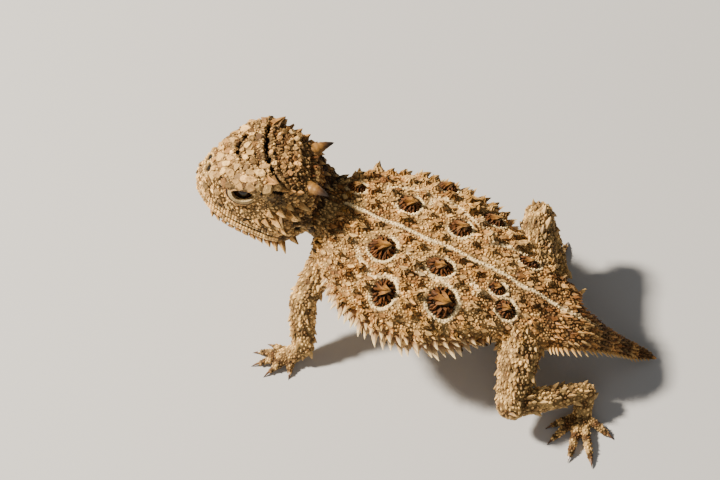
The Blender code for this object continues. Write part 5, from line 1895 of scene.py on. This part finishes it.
@dataclass
class HeadArmour:
    """Crown tiles, lip plates, nostril rims, and spines of brow, temple, jaw and nape."""

    coat: Coat
    spines: tuple[tuple[Point, Point, float], ...] = (
        ((5.8, 4.9, 8.3), (5.3, 6.2, 9.6), 1.8), ((4.3, 5.4, 7.5), (3.6, 6.0, 8.3), 0.95),
        ((3.1, 5.1, 7.3), (2.4, 5.7, 8.1), 0.95), ((1.9, 4.7, 7.0), (1.2, 5.3, 7.7), 0.9),
        ((5.2, 6.0, 1.6), (4.7, 7.0, 1.3), 1.1), ((3.9, 6.3, 2.5), (3.4, 7.8, 2.2), 1.9),
        ((2.2, 6.1, 3.7), (1.2, 7.4, 3.85), 1.9), ((0.9, 5.4, 4.9), (-0.1, 6.3, 5.2), 1.2),
        ((2.6, 6.1, -2.2), (1.9, 7.4, -3.1), 1.0), ((1.4, 5.6, -1.2), (0.4, 6.7, -1.6), 0.9),
        ((6.4, 5.9, 1.3), (6.0, 6.7, 1.0), 0.8), ((2.9, 6.3, 0.7), (2.3, 7.2, 0.6), 0.9),
        ((7.6, 5.6, 0.5), (7.3, 6.2, 0.3), 0.7), ((3.6, 6.4, 3.9), (3.1, 7.1, 3.9), 1.3),
        ((5.0, 6.2, 3.3), (4.6, 6.8, 3.2), 1.2), ((2.6, 5.9, 4.9), (2.1, 6.6, 5.1), 1.1))
    jaw_start: Point = (12.6, 3.8, -1.4)
    jaw_end: Point = (3.5, 6.3, -2.4)
    jaw_count: int = 10
    jaw_aim: Point = (-0.35, 0.8, -0.55)
    jaw_lengths: Pair = (0.55, 1.2)
    jaw_widths: Pair = (0.4, 0.62)
    ridged_from: float = 1.4
    nape: tuple[Point, ...] = ((0.2, 0.0, 7.2), (0.4, 1.6, 6.9), (0.4, -1.6, 6.9))
    nape_aim: Point = (-0.9, 0.0, 0.7)
    nape_width: float = 0.42
    lip_rows: tuple[Pair, ...] = ((0.36, 1.0), (-0.36, 1.15), (0.86, 1.1), (-0.9, 1.2))
    lip_size: float = 0.24
    lip_step: float = 0.42
    tile_density: float = 6.0
    tile_spacing: float = 1.0
    rim_count: int = 13
    rim_radius: float = 0.86

    def build(self) -> None:
        """Root the armour of the whole head."""
        marks = self.coat.markings
        # the head's spines take painted shade on their rear side
        thorns = Batch(Form.PYRAMID, dark_rear=0.6, jitter=0.05)
        ridged = Batch(Form.LIMPET, dark_rear=0.75, jitter=0.04)
        for side in Side:
            for root, tip, wide in self.spines:
                pale = ease(root[2], 6.0, 5.0)
                foot = blend(marks.tan * 0.5, marks.tan * 0.6, pale)
                end = blend(marks.tan * 0.9, marks.pale * 0.9, pale)
                self.thorn(ridged if wide > self.ridged_from else thorns, root, tip, side, wide,
                           foot, end)
            self.jaw(thorns, side)
        for root in self.nape:
            self.thorn(thorns, root, np.array(root) + self.nape_aim, Side.LEFT, self.nape_width,
                       marks.brown, marks.dark)
        thorns.make(self.coat.workshop, "head_spines", Finishes.SCALE)
        ridged.make(self.coat.workshop, "brow_and_cheek_spines", Finishes.SCALE)
        self.lips()
        self.rims()
        self.tiles()

    def thorn(self, batch: Batch, root: Array, tip: Array, side: Side, wide: float,
              foot: Array, end: Array) -> None:
        """Add one spine between two places of the head's own frame.

        Args:
            batch: Where it is gathered.
            root: Place near its root.
            tip: Place of its point.
            side: Which side.
            wide: Width in millimetres.
            foot: Colour at the root.
            end: Colour at the point.
        """
        head = self.coat.hide.head
        site = self.coat.hide.nearest(head.out(root, side))
        aim = head.out(tip, side) - site.place[0]
        length = float(np.linalg.norm(aim))
        batch.add(site, aim, head.aim((-1.0, 0.0, 0.2)), wide * 0.62, wide * 0.55, length, foot, end)
        self.coat.reserve(site.place, wide * 0.5)

    def jaw(self, batch: Batch, side: Side) -> None:
        """Add the row of spines under one side of the jaw, longer towards its corner.

        Args:
            batch: Where they are gathered.
            side: Which side.
        """
        marks = self.coat.markings
        start, end = np.array(self.jaw_start), np.array(self.jaw_end)
        for t in np.linspace(0, 1, self.jaw_count):
            root = start * (1 - t) + end * t
            length, wide = (a * (1 - t) + b * t for a, b in (self.jaw_lengths, self.jaw_widths))
            self.thorn(batch, root, root + unit(np.array(self.jaw_aim)) * length, side, wide * 1.5,
                       marks.brown, marks.pale)

    def lips(self) -> None:
        """Two rows of small plates above and below the mouth, a dark line apart."""
        marks, head = self.coat.markings, self.coat.hide.head
        batch = Batch(Form.DOME)
        draw = np.random.default_rng(95)
        for side in Side:
            for shift, scale in self.lip_rows:
                x = head.mouth_corner
                while x < head.snout - 0.25:
                    z = float(head.mouth_height(x)) + shift
                    site = self.coat.hide.nearest(head.out((x, head.side_at(x, z), z), side))
                    size = self.lip_size * scale * draw.uniform(0.85, 1.15)
                    tone = marks.paint(site) * draw.uniform(0.9, 1.3)
                    batch.add(site, site.normal, site.lie, size * 1.1, size, 0.17, tone * 0.8, tone)
                    self.coat.reserve(site.place, 0.2)
                    x += self.lip_step * max(0.3, math.sqrt(max(0.0, 1 - (x / head.snout) ** 8)))
        batch.make(self.coat.workshop, "lip_plates", Finishes.SCALE)

    def rims(self) -> None:
        """Ring of small pale scales round each nostril."""
        marks, head = self.coat.markings, self.coat.hide.head
        batch = Batch(Form.DOME, jitter=0.05)
        across = unit(np.cross(head.nostril_axis, (0.0, 1.0, 0.0)))
        rise = np.cross(head.nostril_axis, across)
        for side in Side:
            for turn in full_turn(self.rim_count):
                step = self.rim_radius * (across * math.cos(turn) + rise * math.sin(turn))
                site = self.coat.hide.nearest(head.out(np.array(head.nostril) + step, side))
                batch.add(site, site.normal, site.lie, 0.22, 0.2, 0.16, marks.pale * 0.6, marks.pale)
                self.coat.reserve(site.place, 0.18)
        batch.make(self.coat.workshop, "nostril_rims", Finishes.SCALE)

    def tiles(self) -> None:
        """Flat-topped many-sided scales over crown, snout and rear dome."""
        hide, marks = self.coat.hide, self.coat.markings
        sites = hide.scatter(self.tile_density, 96)
        local = hide.head.into(sites.place)
        front = local[:, 0] > hide.head.crack(local[:, 1])
        keep = (sites.region == Region.HEAD) & (sites.normal[:, 2] > 0.3) & (local[:, 2] > 2.0)
        long_crack, short_crack = hide.head.cracks(local)
        groove = np.abs(local[:, 2] - hide.head.brow_line(local[:, 0]))
        edge = np.min((long_crack - 0.24, short_crack - 0.2, hide.head.pits(local)[0] - 0.8,
                       groove - 0.1), axis=0)
        keep &= edge > 0.22
        sites, front, edge = sites.where(keep), front[keep], edge[keep]
        space = np.where(front, self.tile_spacing, 0.75 * self.tile_spacing)
        space = np.minimum(space, 1.9 * edge + 0.1)
        clear = self.coat.free(sites, 0.3 * space)
        sites, space = sites.where(clear), space[clear]
        kept = thin(sites.place, space)
        sites, space = sites.where(kept), space[kept]
        draw = np.random.default_rng(97)
        size = np.minimum(0.58 * space * draw.uniform(0.8, 1.2, len(space)), 0.85 * edge[clear][kept])
        tone = marks.paint(sites) * draw.uniform(0.62, 1.25, len(space))[:, None]
        spin = unit(sites.lie + draw.normal(0, 0.8, (len(space), 3)))
        tilt = sites.normal + draw.normal(0, 0.13, (len(space), 3)) + 0.08 * sites.lie
        batch = Batch(Form.TILE, jitter=0.16)
        batch.add(sites, tilt, spin, size * draw.uniform(1.0, 1.3, len(space)), size,
                  draw.uniform(0.14, 0.3, len(space)), tone * 0.3, tone * 1.05)
        self.coat.reserve(sites.place, 0.8 * size)
        batch.make(self.coat.workshop, "crown_tiles", Finishes.SCALE)


@dataclass
class TailSpines:
    """Spines along both edges of the tail and in rows over its top."""

    coat: Coat
    tail: Tail
    reach: Pair = (0.02, 0.94)
    stations: int = 24
    ridges: tuple[int, ...] = (30, 55, 78, 102, 125, 150)

    def build(self) -> None:
        """Root the edge spines and the ridges."""
        hide, marks = self.coat.hide, self.coat.markings
        draw = np.random.default_rng(101)
        batch = Batch(Form.THORN)
        for t in np.linspace(*self.reach, self.stations):
            centre, ahead, side, rise = self.tail.at(float(t))
            wide, deep = float(self.tail.half_width(t)), float(self.tail.half_depth(t))
            scale = (1 - t) ** 0.6
            for sign in (-1, 1):
                site = hide.nearest(centre + side * sign * wide + rise * 0.1)
                aim = side * sign + ahead * 0.5 + rise * draw.uniform(0.0, 0.25)
                batch.add(site, aim, ahead + rise * 0.2, 0.3 * scale + 0.08, 0.22 * scale + 0.07,
                          (1.45 * scale + 0.2) * draw.uniform(0.85, 1.1), marks.tan * 0.6, marks.pale)
                self.coat.reserve(site.place, 0.15)
            for angle in self.ridges:
                a = math.radians(angle + draw.uniform(-5, 5))
                site = hide.nearest(centre + side * wide * math.cos(a) + rise * deep * math.sin(a))
                batch.add(site, site.normal + 0.85 * ahead, ahead, 0.26 * scale + 0.09,
                          0.22 * scale + 0.08, 0.62 * scale + 0.16, marks.paint(site)[0] * 0.7,
                          marks.paint(site)[0] * 1.3)
                self.coat.reserve(site.place, 0.2 * scale)
        batch.make(self.coat.workshop, "tail_spines", Finishes.SPINE)


@dataclass
class LimbSpines:
    """Pointed scales over the upper and front faces of the limbs and round the neck."""

    coat: Coat
    density: float = 3.5
    spacing: float = 1.6
    lean: float = 0.7
    height: float = 0.9

    def build(self) -> None:
        """Root the limb spines."""
        hide, marks = self.coat.hide, self.coat.markings
        sites = hide.scatter(self.density, 111)
        limb = np.isin(sites.region, (Region.ARM, Region.LEG, Region.NECK))
        sites = sites.where(limb & (sites.normal[:, 2] > -0.35))
        kept = thin(sites.place, np.full(len(sites.place), self.spacing))
        sites = sites.where(kept)
        draw = np.random.default_rng(112)
        size = draw.uniform(0.6, 1.15, len(kept))
        tone = marks.paint(sites)
        # painted shade on each spine's rear side
        batch = Batch(Form.PYRAMID, dark_rear=0.4)
        batch.add(sites, sites.normal + self.lean * sites.lie, sites.lie, 0.48 * size, 0.38 * size,
                  self.height * size, tone * 0.55, blend(tone, marks.pale, 0.65))
        self.coat.reserve(sites.place, 0.3 * size)
        batch.make(self.coat.workshop, "limb_spines", Finishes.SPINE)


@dataclass
class Eyes:
    """Eyeballs, and the lids that close on them to a dark almond."""

    hide: Hide
    markings: Markings
    workshop: Workshop
    opening: Point = (1.48, 0.42, 1.02)
    outer: Pair = (2.62, 2.16)
    shell: Point = (2.8, 2.34, 2.3)
    inner: float = 1.54
    bead_tries: int = 5200
    ball_colour: Array = tint_field(34, 22, 14)
    iris_ring: Array = tint_field(60, 38, 20)
    pupil: Array = tint_field(6, 5, 5)
    lower_lid: Array = tint_field(176, 152, 108)
    lower_fold: Array = tint_field(138, 108, 68)
    upper_lid: Array = tint_field(176, 138, 88)
    tilt: float = 23.0

    def build(self) -> None:
        """Make both eyes."""
        for side in Side:
            self.ball(side)
            self.lid(side)

    def ball(self, side: Side) -> None:
        """Eyeball with a dark iris, a faint gold ring and a black pupil.

        Args:
            side: Which side.
        """
        head = self.hide.head
        polar = np.linspace(0, math.pi, 41)[1:-1]
        turn = full_turn(48)
        a, b = np.meshgrid(polar, turn, indexing="ij")
        ball = np.stack((np.sin(a) * np.cos(b), np.cos(a), np.sin(a) * np.sin(b)), axis=-1)
        ends = np.array([(0, 1, 0), (0, -1, 0)], float)
        shape = np.concatenate((ball.reshape(-1, 3), ends)) * head.eye_radius
        verts = head.out(shape + head.eye, side)
        around, count, pole = walls(*a.shape), len(turn), a.size
        faces = np.concatenate((around[:, (0, 3, 2)], around[:, (0, 2, 1)],
                                fan(0, count, pole)[:, (2, 0, 1)],
                                fan(pole - count, count, pole + 1)[:, (2, 1, 0)]))[:, ::side]
        piece = self.workshop.mesh(f"eyeball_{side.word}", verts, faces)
        off = np.hypot(shape[:, 0], shape[:, 2])
        front = shape[:, 1] > 0
        tint = washes(self.ball_colour, (self.iris_ring, front * ease(np.abs(off - 0.66), 0.08, 0.03)),
                      (self.pupil, front * ease(off, 0.62, 0.56)))
        layout = np.stack((0.25 + 0.15 * shape[:, 0], 0.5 + 0.15 * shape[:, 2]), axis=1)
        layout[:, 0] += np.where(front, 0.0, 0.5)
        self.workshop.dress(piece, Finishes.EYE, tint, layout, Slot.EYE)
        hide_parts(f"eye_{side.word}")

    def lid_point(self, turn: Array, out: Array) -> Array:
        """Places of the left eye's lids round the opening, out from 0 at its edge to 1.

        Args:
            turn: Angle of each place round the opening.
            out: Share of the way from the opening to the lids' rim.

        Returns:
            Places from the eyeball's middle.
        """
        half, above, beneath = self.opening
        tall = np.where(np.sin(turn) > 0, above, beneath) * (0.6 + 0.4 * np.abs(np.sin(turn)))
        rim = np.stack((half * np.cos(turn), tall * np.sin(turn)), axis=-1)
        far = np.stack((self.outer[0] * np.cos(turn), self.outer[1] * np.sin(turn)), axis=-1)
        flat = rim + (far - rim) * out[..., None]
        wide, deep, tall = self.shell
        inside = np.clip(1 - (flat[..., 0] / wide) ** 2 - (flat[..., 1] / tall) ** 2, 0, 1)
        y = deep * np.sqrt(inside) + 0.035 * np.sin(26 * out) * ease(out, 0.1, 0.3)
        eyeball = np.sqrt(np.maximum(self.inner ** 2 - (flat ** 2).sum(-1), 0))
        y = eyeball + (y - eyeball) * ease(out, 0.0, 0.1)
        z, tilt = flat[..., 1], math.radians(self.tilt)
        return np.stack((flat[..., 0], y * math.cos(tilt) - z * math.sin(tilt),
                         y * math.sin(tilt) + z * math.cos(tilt)), axis=-1)

    def lid(self, side: Side) -> None:
        """Upper and lower lid in one piece, with beads over it.

        Args:
            side: Which side.
        """
        head = self.hide.head
        turn = full_turn(96)
        out = np.concatenate(([-0.05], np.linspace(0, 0.16, 8), np.linspace(0.2, 1, 24)))
        b, a = np.meshgrid(turn, out)
        local = self.lid_point(b, np.maximum(a, 0)) + head.eye
        local[0, :, 1] -= 0.25
        verts = head.out(local.reshape(-1, 3), side)
        piece = self.workshop.mesh(f"lids_{side.word}", verts, walls(*b.shape)[:, ::side])
        normals = mesh_values(piece.data.vertices, "normal", 3, float)
        tint = self.tint(verts, normals, b.ravel(), a.ravel())
        layout = self.lid_layout(b.ravel(), a.ravel())
        self.workshop.dress(piece, Finishes.SKIN, tint, np.clip(layout, 0, 1))
        self.beads(side)

    @staticmethod
    def lid_layout(turn: Array, out: Array) -> Array:
        """Places of the lids' points on the unwrap."""
        return np.stack((turn / (2 * math.pi) * 0.9 + 0.05, 0.05 + 0.85 * out), axis=1)

    def tint(self, place: Array, normal: Array, turn: Array, out: Array) -> Array:
        """Colours of the lids: a pale lower rim, painted shade on the upper lid, in the crease under the
        lower rim and at the edge of the opening, hide beyond.

        Args:
            place: Places on the lids.
            normal: Their directions.
            turn: Angle of each round the opening.
            out: Share of the way outwards.

        Returns:
            One colour for each place.
        """
        marks = self.markings
        lie = np.tile(self.hide.head.aim((-1, 0, 0)), (len(place), 1))
        sites = Sites(place, normal, lie, np.zeros((len(place), 2)),
                      np.full(len(place), Region.HEAD), np.zeros(len(place)))
        lower = ease(np.sin(turn), 0.3, 0.0)
        return washes(
            marks.paint(sites), (marks.tan, 0.5),
            (self.lower_lid, lower * ease(out, 0.56, 0.5)),
            (self.lower_fold, lower * ease(np.abs(out - 0.3), 0.06, 0.01)),
            # painted shade: a dark crease under the lower rim, a dark band on the upper lid under the
            # brow, and darkening at the edge of the opening
            (marks.dark * 0.6, lower * ease(np.abs(out - 0.66), 0.16, 0.08)),
            (self.upper_lid, (1 - lower) * ease(out, 0.34, 0.26)),
            (marks.dark, 0.9 * (1 - lower) * ease(np.abs(out - 0.5), 0.26, 0.16)),
            (marks.dark * 0.5, ease(out, 0.04, 0.0)))

    def beads(self, side: Side) -> None:
        """Small granules over the lids beyond their smooth rims.

        Args:
            side: Which side.
        """
        head = self.hide.head
        draw = np.random.default_rng(121 + side)
        count = self.bead_tries
        turn = draw.uniform(0, 2 * math.pi, count)
        out = np.where(np.sin(turn) > 0.1, draw.uniform(0.5, 1.0, count), draw.uniform(0.8, 1.0, count))
        here, along, beyond = (
            head.out(self.lid_point(t, o) + head.eye, side)
            for t, o in ((turn, out), (turn + 0.01, out), (turn, out + 0.01)))
        normal = unit(np.cross(along - here, beyond - here))
        normal *= np.sign(((here - head.out(head.eye, side)) * normal).sum(1, keepdims=True))
        sites = Sites(here, normal, unit(beyond - here), self.lid_layout(turn, out),
                      np.full(count, Region.HEAD), np.zeros(count))
        room = 0.2 + 0.14 * out
        kept = thin(sites.place, room)
        sites, turn, out = sites.where(kept), turn[kept], out[kept]
        tint = self.tint(sites.place, sites.normal, turn, out) \
            * draw.uniform(0.85, 1.2, len(kept))[:, None]
        batch = Batch(Form.BEAD)
        size = room[kept] * 0.55
        batch.add(sites, sites.normal, sites.lie, size, size, size * 0.75, tint * 0.85, tint * 1.2)
        batch.make(self.workshop, f"lid_beads_{side.word}", Finishes.SCALE)


@dataclass
class Horns:
    """Two short, conical horns at the rear corners of the skull."""

    hide: Hide
    workshop: Workshop
    root: Point = (0.6, 3.2, 6.35)
    tip: Point = (-2.25, 4.8, 7.25)
    radius: float = 1.15
    rings: int = 26
    sides: int = 28
    root_colour: Array = tint_field(138, 98, 46)
    shaft_colour: Array = tint_field(90, 62, 36)
    tip_colour: Array = tint_field(42, 31, 23)

    def build(self) -> None:
        """Make both horns."""
        head = self.hide.head
        for side in Side:
            start, end = head.out(self.root, side), head.out(self.tip, side)
            ahead = unit(end - start)
            across = unit(np.cross(ahead, UP))
            rise = np.cross(across, ahead)
            length = float(np.linalg.norm(end - start))
            turn = full_turn(self.sides)[:, None]
            verts, share = [], []
            for t in np.linspace(-0.12, 0.985, self.rings):
                wide = self.radius * (1 - max(t, 0)) ** 0.8 * (1 + 0.03 * math.sin(30 * t))
                centre = start + ahead * length * t + rise * 0.25 * math.sin(math.pi * max(t, 0))
                verts.append(centre + wide * (across * np.cos(turn) + rise * 0.9 * np.sin(turn)))
                share.extend([t] * self.sides)
            verts = np.concatenate((*verts, end[None]))
            share = np.array([*share, 1.0])
            around, last = walls(self.rings, self.sides), (self.rings - 1) * self.sides
            faces = np.concatenate((around[:, (0, 1, 2)], around[:, (0, 2, 3)],
                                    fan(last, self.sides, len(verts) - 1)))
            piece = self.workshop.mesh(f"horn_sheath_{side.word}", verts, faces[:, ::-1])
            tint = washes(self.root_colour, (self.shaft_colour, ease(share, 0.35, 0.65)),
                          (self.tip_colour, ease(share, 0.5, 0.85)))
            turned = np.append(np.tile(np.arange(self.sides) / self.sides, self.rings), 0.5)
            layout = np.stack((0.05 + 0.9 * turned, 0.1 + 0.8 * np.clip(share, 0, 1)), axis=1)
            self.workshop.dress(piece, Finishes.HORN, tint, layout, Slot.HORN)
            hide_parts(f"horn_{side.word}")


@dataclass
class Claws:
    """Small curved claws at the ends of all twenty digits."""

    hide: Hide
    workshop: Workshop
    legs: list[Leg]
    half_length: float = 0.2
    half_width: float = 0.17
    root_colour: Array = tint_field(120, 84, 56)
    tip_colour: Array = tint_field(34, 24, 20)

    def build(self) -> None:
        """Make the claws of every foot as one mesh."""
        batch = Batch(Form.CLAW)
        for leg in self.legs:
            for root, ahead in leg.claws:
                site = self.hide.nearest(root + ahead * 0.35)
                site.place = (root + ahead * 0.12)[None]
                batch.add(site, ahead - UP * 0.02, -UP * 0.35 + ahead * 0.1, self.half_length,
                          self.half_width, leg.claw_length, self.root_colour, self.tip_colour)
        batch.make(self.workshop, "claws", Finishes.CLAW)


@dataclass
class Studio:
    """Pale floor, soft light, and the camera at the photograph's angle."""

    azimuth: float = 25.0
    elevation: float = 50.0
    distance: float = 0.6
    view_width: float = 97.2
    off_centre: Pair = (-13.84, 11.85)
    depth: float = 8.4
    sensor: float = 36.0
    floor_reach: float = 3.0

    def build(self, workshop: Workshop) -> None:
        """Set the stage.

        Args:
            workshop: Knows the shift between the frames.
        """
        scene = bpy.context.scene
        a, e = math.radians(self.azimuth), math.radians(self.elevation)
        right = np.array((math.cos(a), math.sin(a), 0.0))
        up = np.array((-math.sin(a) * math.sin(e), math.cos(a) * math.sin(e), math.cos(e)))
        back = np.array((math.sin(a) * math.cos(e), -math.cos(a) * math.cos(e), math.sin(e)))
        target = right * self.off_centre[0] + up * self.off_centre[1] + back * self.depth
        place = (target + workshop.shift) * MM + back * self.distance
        camera = bpy.data.objects.new("camera", bpy.data.cameras.new("camera"))
        camera.data.sensor_width = self.sensor
        camera.data.lens = self.distance / (self.view_width * MM) * self.sensor
        camera.data.clip_start = 0.01
        camera.location = Vector(place)
        camera.rotation_euler = Vector(back).to_track_quat("Z", "Y").to_euler()
        scene.collection.objects.link(camera)
        scene.camera = camera
        self.floor()
        self.light("key", (-0.5, -0.16, 0.48), 0.08, 18.0, (1.0, 0.9, 0.76))
        self.light("fill", (0.2, -0.6, 0.35), 0.5, 0.8, (0.95, 0.97, 1.0))
        world = bpy.data.worlds.new("studio")
        world.use_nodes = True
        shade = world.node_tree.nodes["Background"]
        shade.inputs["Color"].default_value = (0.95, 0.93, 0.9, 1.0)
        shade.inputs["Strength"].default_value = 0.18
        scene.world = world

    def light(self, name: str, place: Point, size: float, power: float, tint: Point) -> None:
        """Add one soft lamp aimed at the animal.

        Args:
            name: Name of the lamp.
            place: Where it hangs, in metres.
            size: Width of its panel.
            power: Its strength in watts.
            tint: Its colour.
        """
        lamp = bpy.data.lights.new(name, "AREA")
        lamp.size = size
        lamp.energy = power
        lamp.color = tint
        holder = bpy.data.objects.new(name, lamp)
        holder.location = Vector(place)
        holder.rotation_euler = Vector(place).to_track_quat("Z", "Y").to_euler()
        bpy.context.scene.collection.objects.link(holder)

    def floor(self) -> None:
        """Lay the plain pale floor."""
        mesh = bpy.data.meshes.new("floor")
        reach = self.floor_reach
        mesh.from_pydata([(-reach, -reach, 0), (reach, -reach, 0), (reach, reach, 0),
                          (-reach, reach, 0)], [], [(0, 1, 2, 3)])
        floor = bpy.data.objects.new("floor", mesh)
        bpy.context.scene.collection.objects.link(floor)
        paper = bpy.data.materials.new("pale_paper")
        paper.use_nodes = True
        tree = paper.node_tree
        shader = tree.nodes["Principled BSDF"]
        grain = add_node(tree, "TexNoise", {"Scale": 60.0}, {})
        shade = add_node(tree, "MapRange", {"To Min": 0.48, "To Max": 0.52},
                         {"Value": grain.outputs["Fac"]})
        tree.links.new(shade.outputs["Result"], shader.inputs["Base Color"])
        shader.inputs["Roughness"].default_value = 0.9
        mesh.materials.append(paper)
        floor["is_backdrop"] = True


def make_legs() -> list[Leg]:
    """The four legs as they stand in the pose.

    Returns:
        The forelegs first, left before right.
    """
    arm = ((2.3, 2.0, 1.85), (1.8, 1.75, 1.45))
    leg = ((3.1, 2.7, 2.0), (1.8, 1.7, 1.3))
    return [
        Leg("arm_left", Region.ARM, ((-17.3, -5.8, 12.6), (-18.9, -10.6, 7.4), (-17.3, -13.9, 2.0)),
            arm, ((-21.6, -14.2), (-22.7, -15.9), (-22.1, -17.7), (-20.2, -18.4), (-17.7, -17.4))),
        Leg("arm_right", Region.ARM, ((-17.3, 5.8, 12.6), (-17.4, 10.8, 7.2), (-18.6, 13.6, 2.0)),
            arm, ((-22.6, 12.6), (-23.9, 14.4), (-23.6, 16.3), (-21.8, 17.6), (-18.7, 17.4))),
        Leg("leg_left", Region.LEG, ((10.6, -3.6, 9.4), (13.2, -13.2, 4.9), (20.8, -5.6, 3.2)),
            leg, ((18.3, -10.6), (19.2, -12.7), (22.3, -14.2), (25.2, -13.9), (25.5, -8.9))),
        Leg("leg_right", Region.LEG, ((9.0, 3.6, 9.5), (5.2, 14.0, 11.0), (9.3, 12.3, 2.6)),
            leg, ((5.4, 13.4), (3.0, 15.2), (2.2, 17.6), (3.3, 19.8), (7.4, 18.9)))]


def write_sizes() -> None:
    """Gather the solids' box and the dressed animal's box as plain lists."""
    boxes = {"cad": CAD_BOX, "visual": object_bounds()}
    plain = {name: [[float(v) for v in corner] for corner in box] for name, box in boxes.items()}


def main() -> None:
    """Build and dress the animal, then light it."""
    logging.basicConfig(level=logging.INFO, format="%(name)s %(message)s")
    head, trunk, tail, legs = Head(), Trunk(), Tail(), make_legs()
    workshop = Workshop(head)
    log.info("shift %s", workshop.shift.round(3))
    parts = [trunk.part(), head.part(), Neck(trunk, head).part(), tail.part()]
    limbs = [part for leg in legs for part in leg.parts()]
    limbs.sort(key=lambda part: part.region)
    markings = Markings(head)
    hide = Hide(head, trunk, Mounds(trunk, markings.spots), parts + limbs)
    hide.build(workshop, markings)
    coat = Coat(hide, markings, workshop)
    steps: list[Callable[[], None]] = [
        BackSpines(coat).build, Fringe(coat).build, HeadArmour(coat).build,
        TailSpines(coat, tail).build, LimbSpines(coat).build, coat.grow,
        Eyes(hide, markings, workshop).build, Horns(hide, workshop).build,
        Claws(hide, workshop, legs).build]
    for step in steps:
        step()
    Studio().build(workshop)
    write_sizes()


if __name__ == "__main__":
    main()
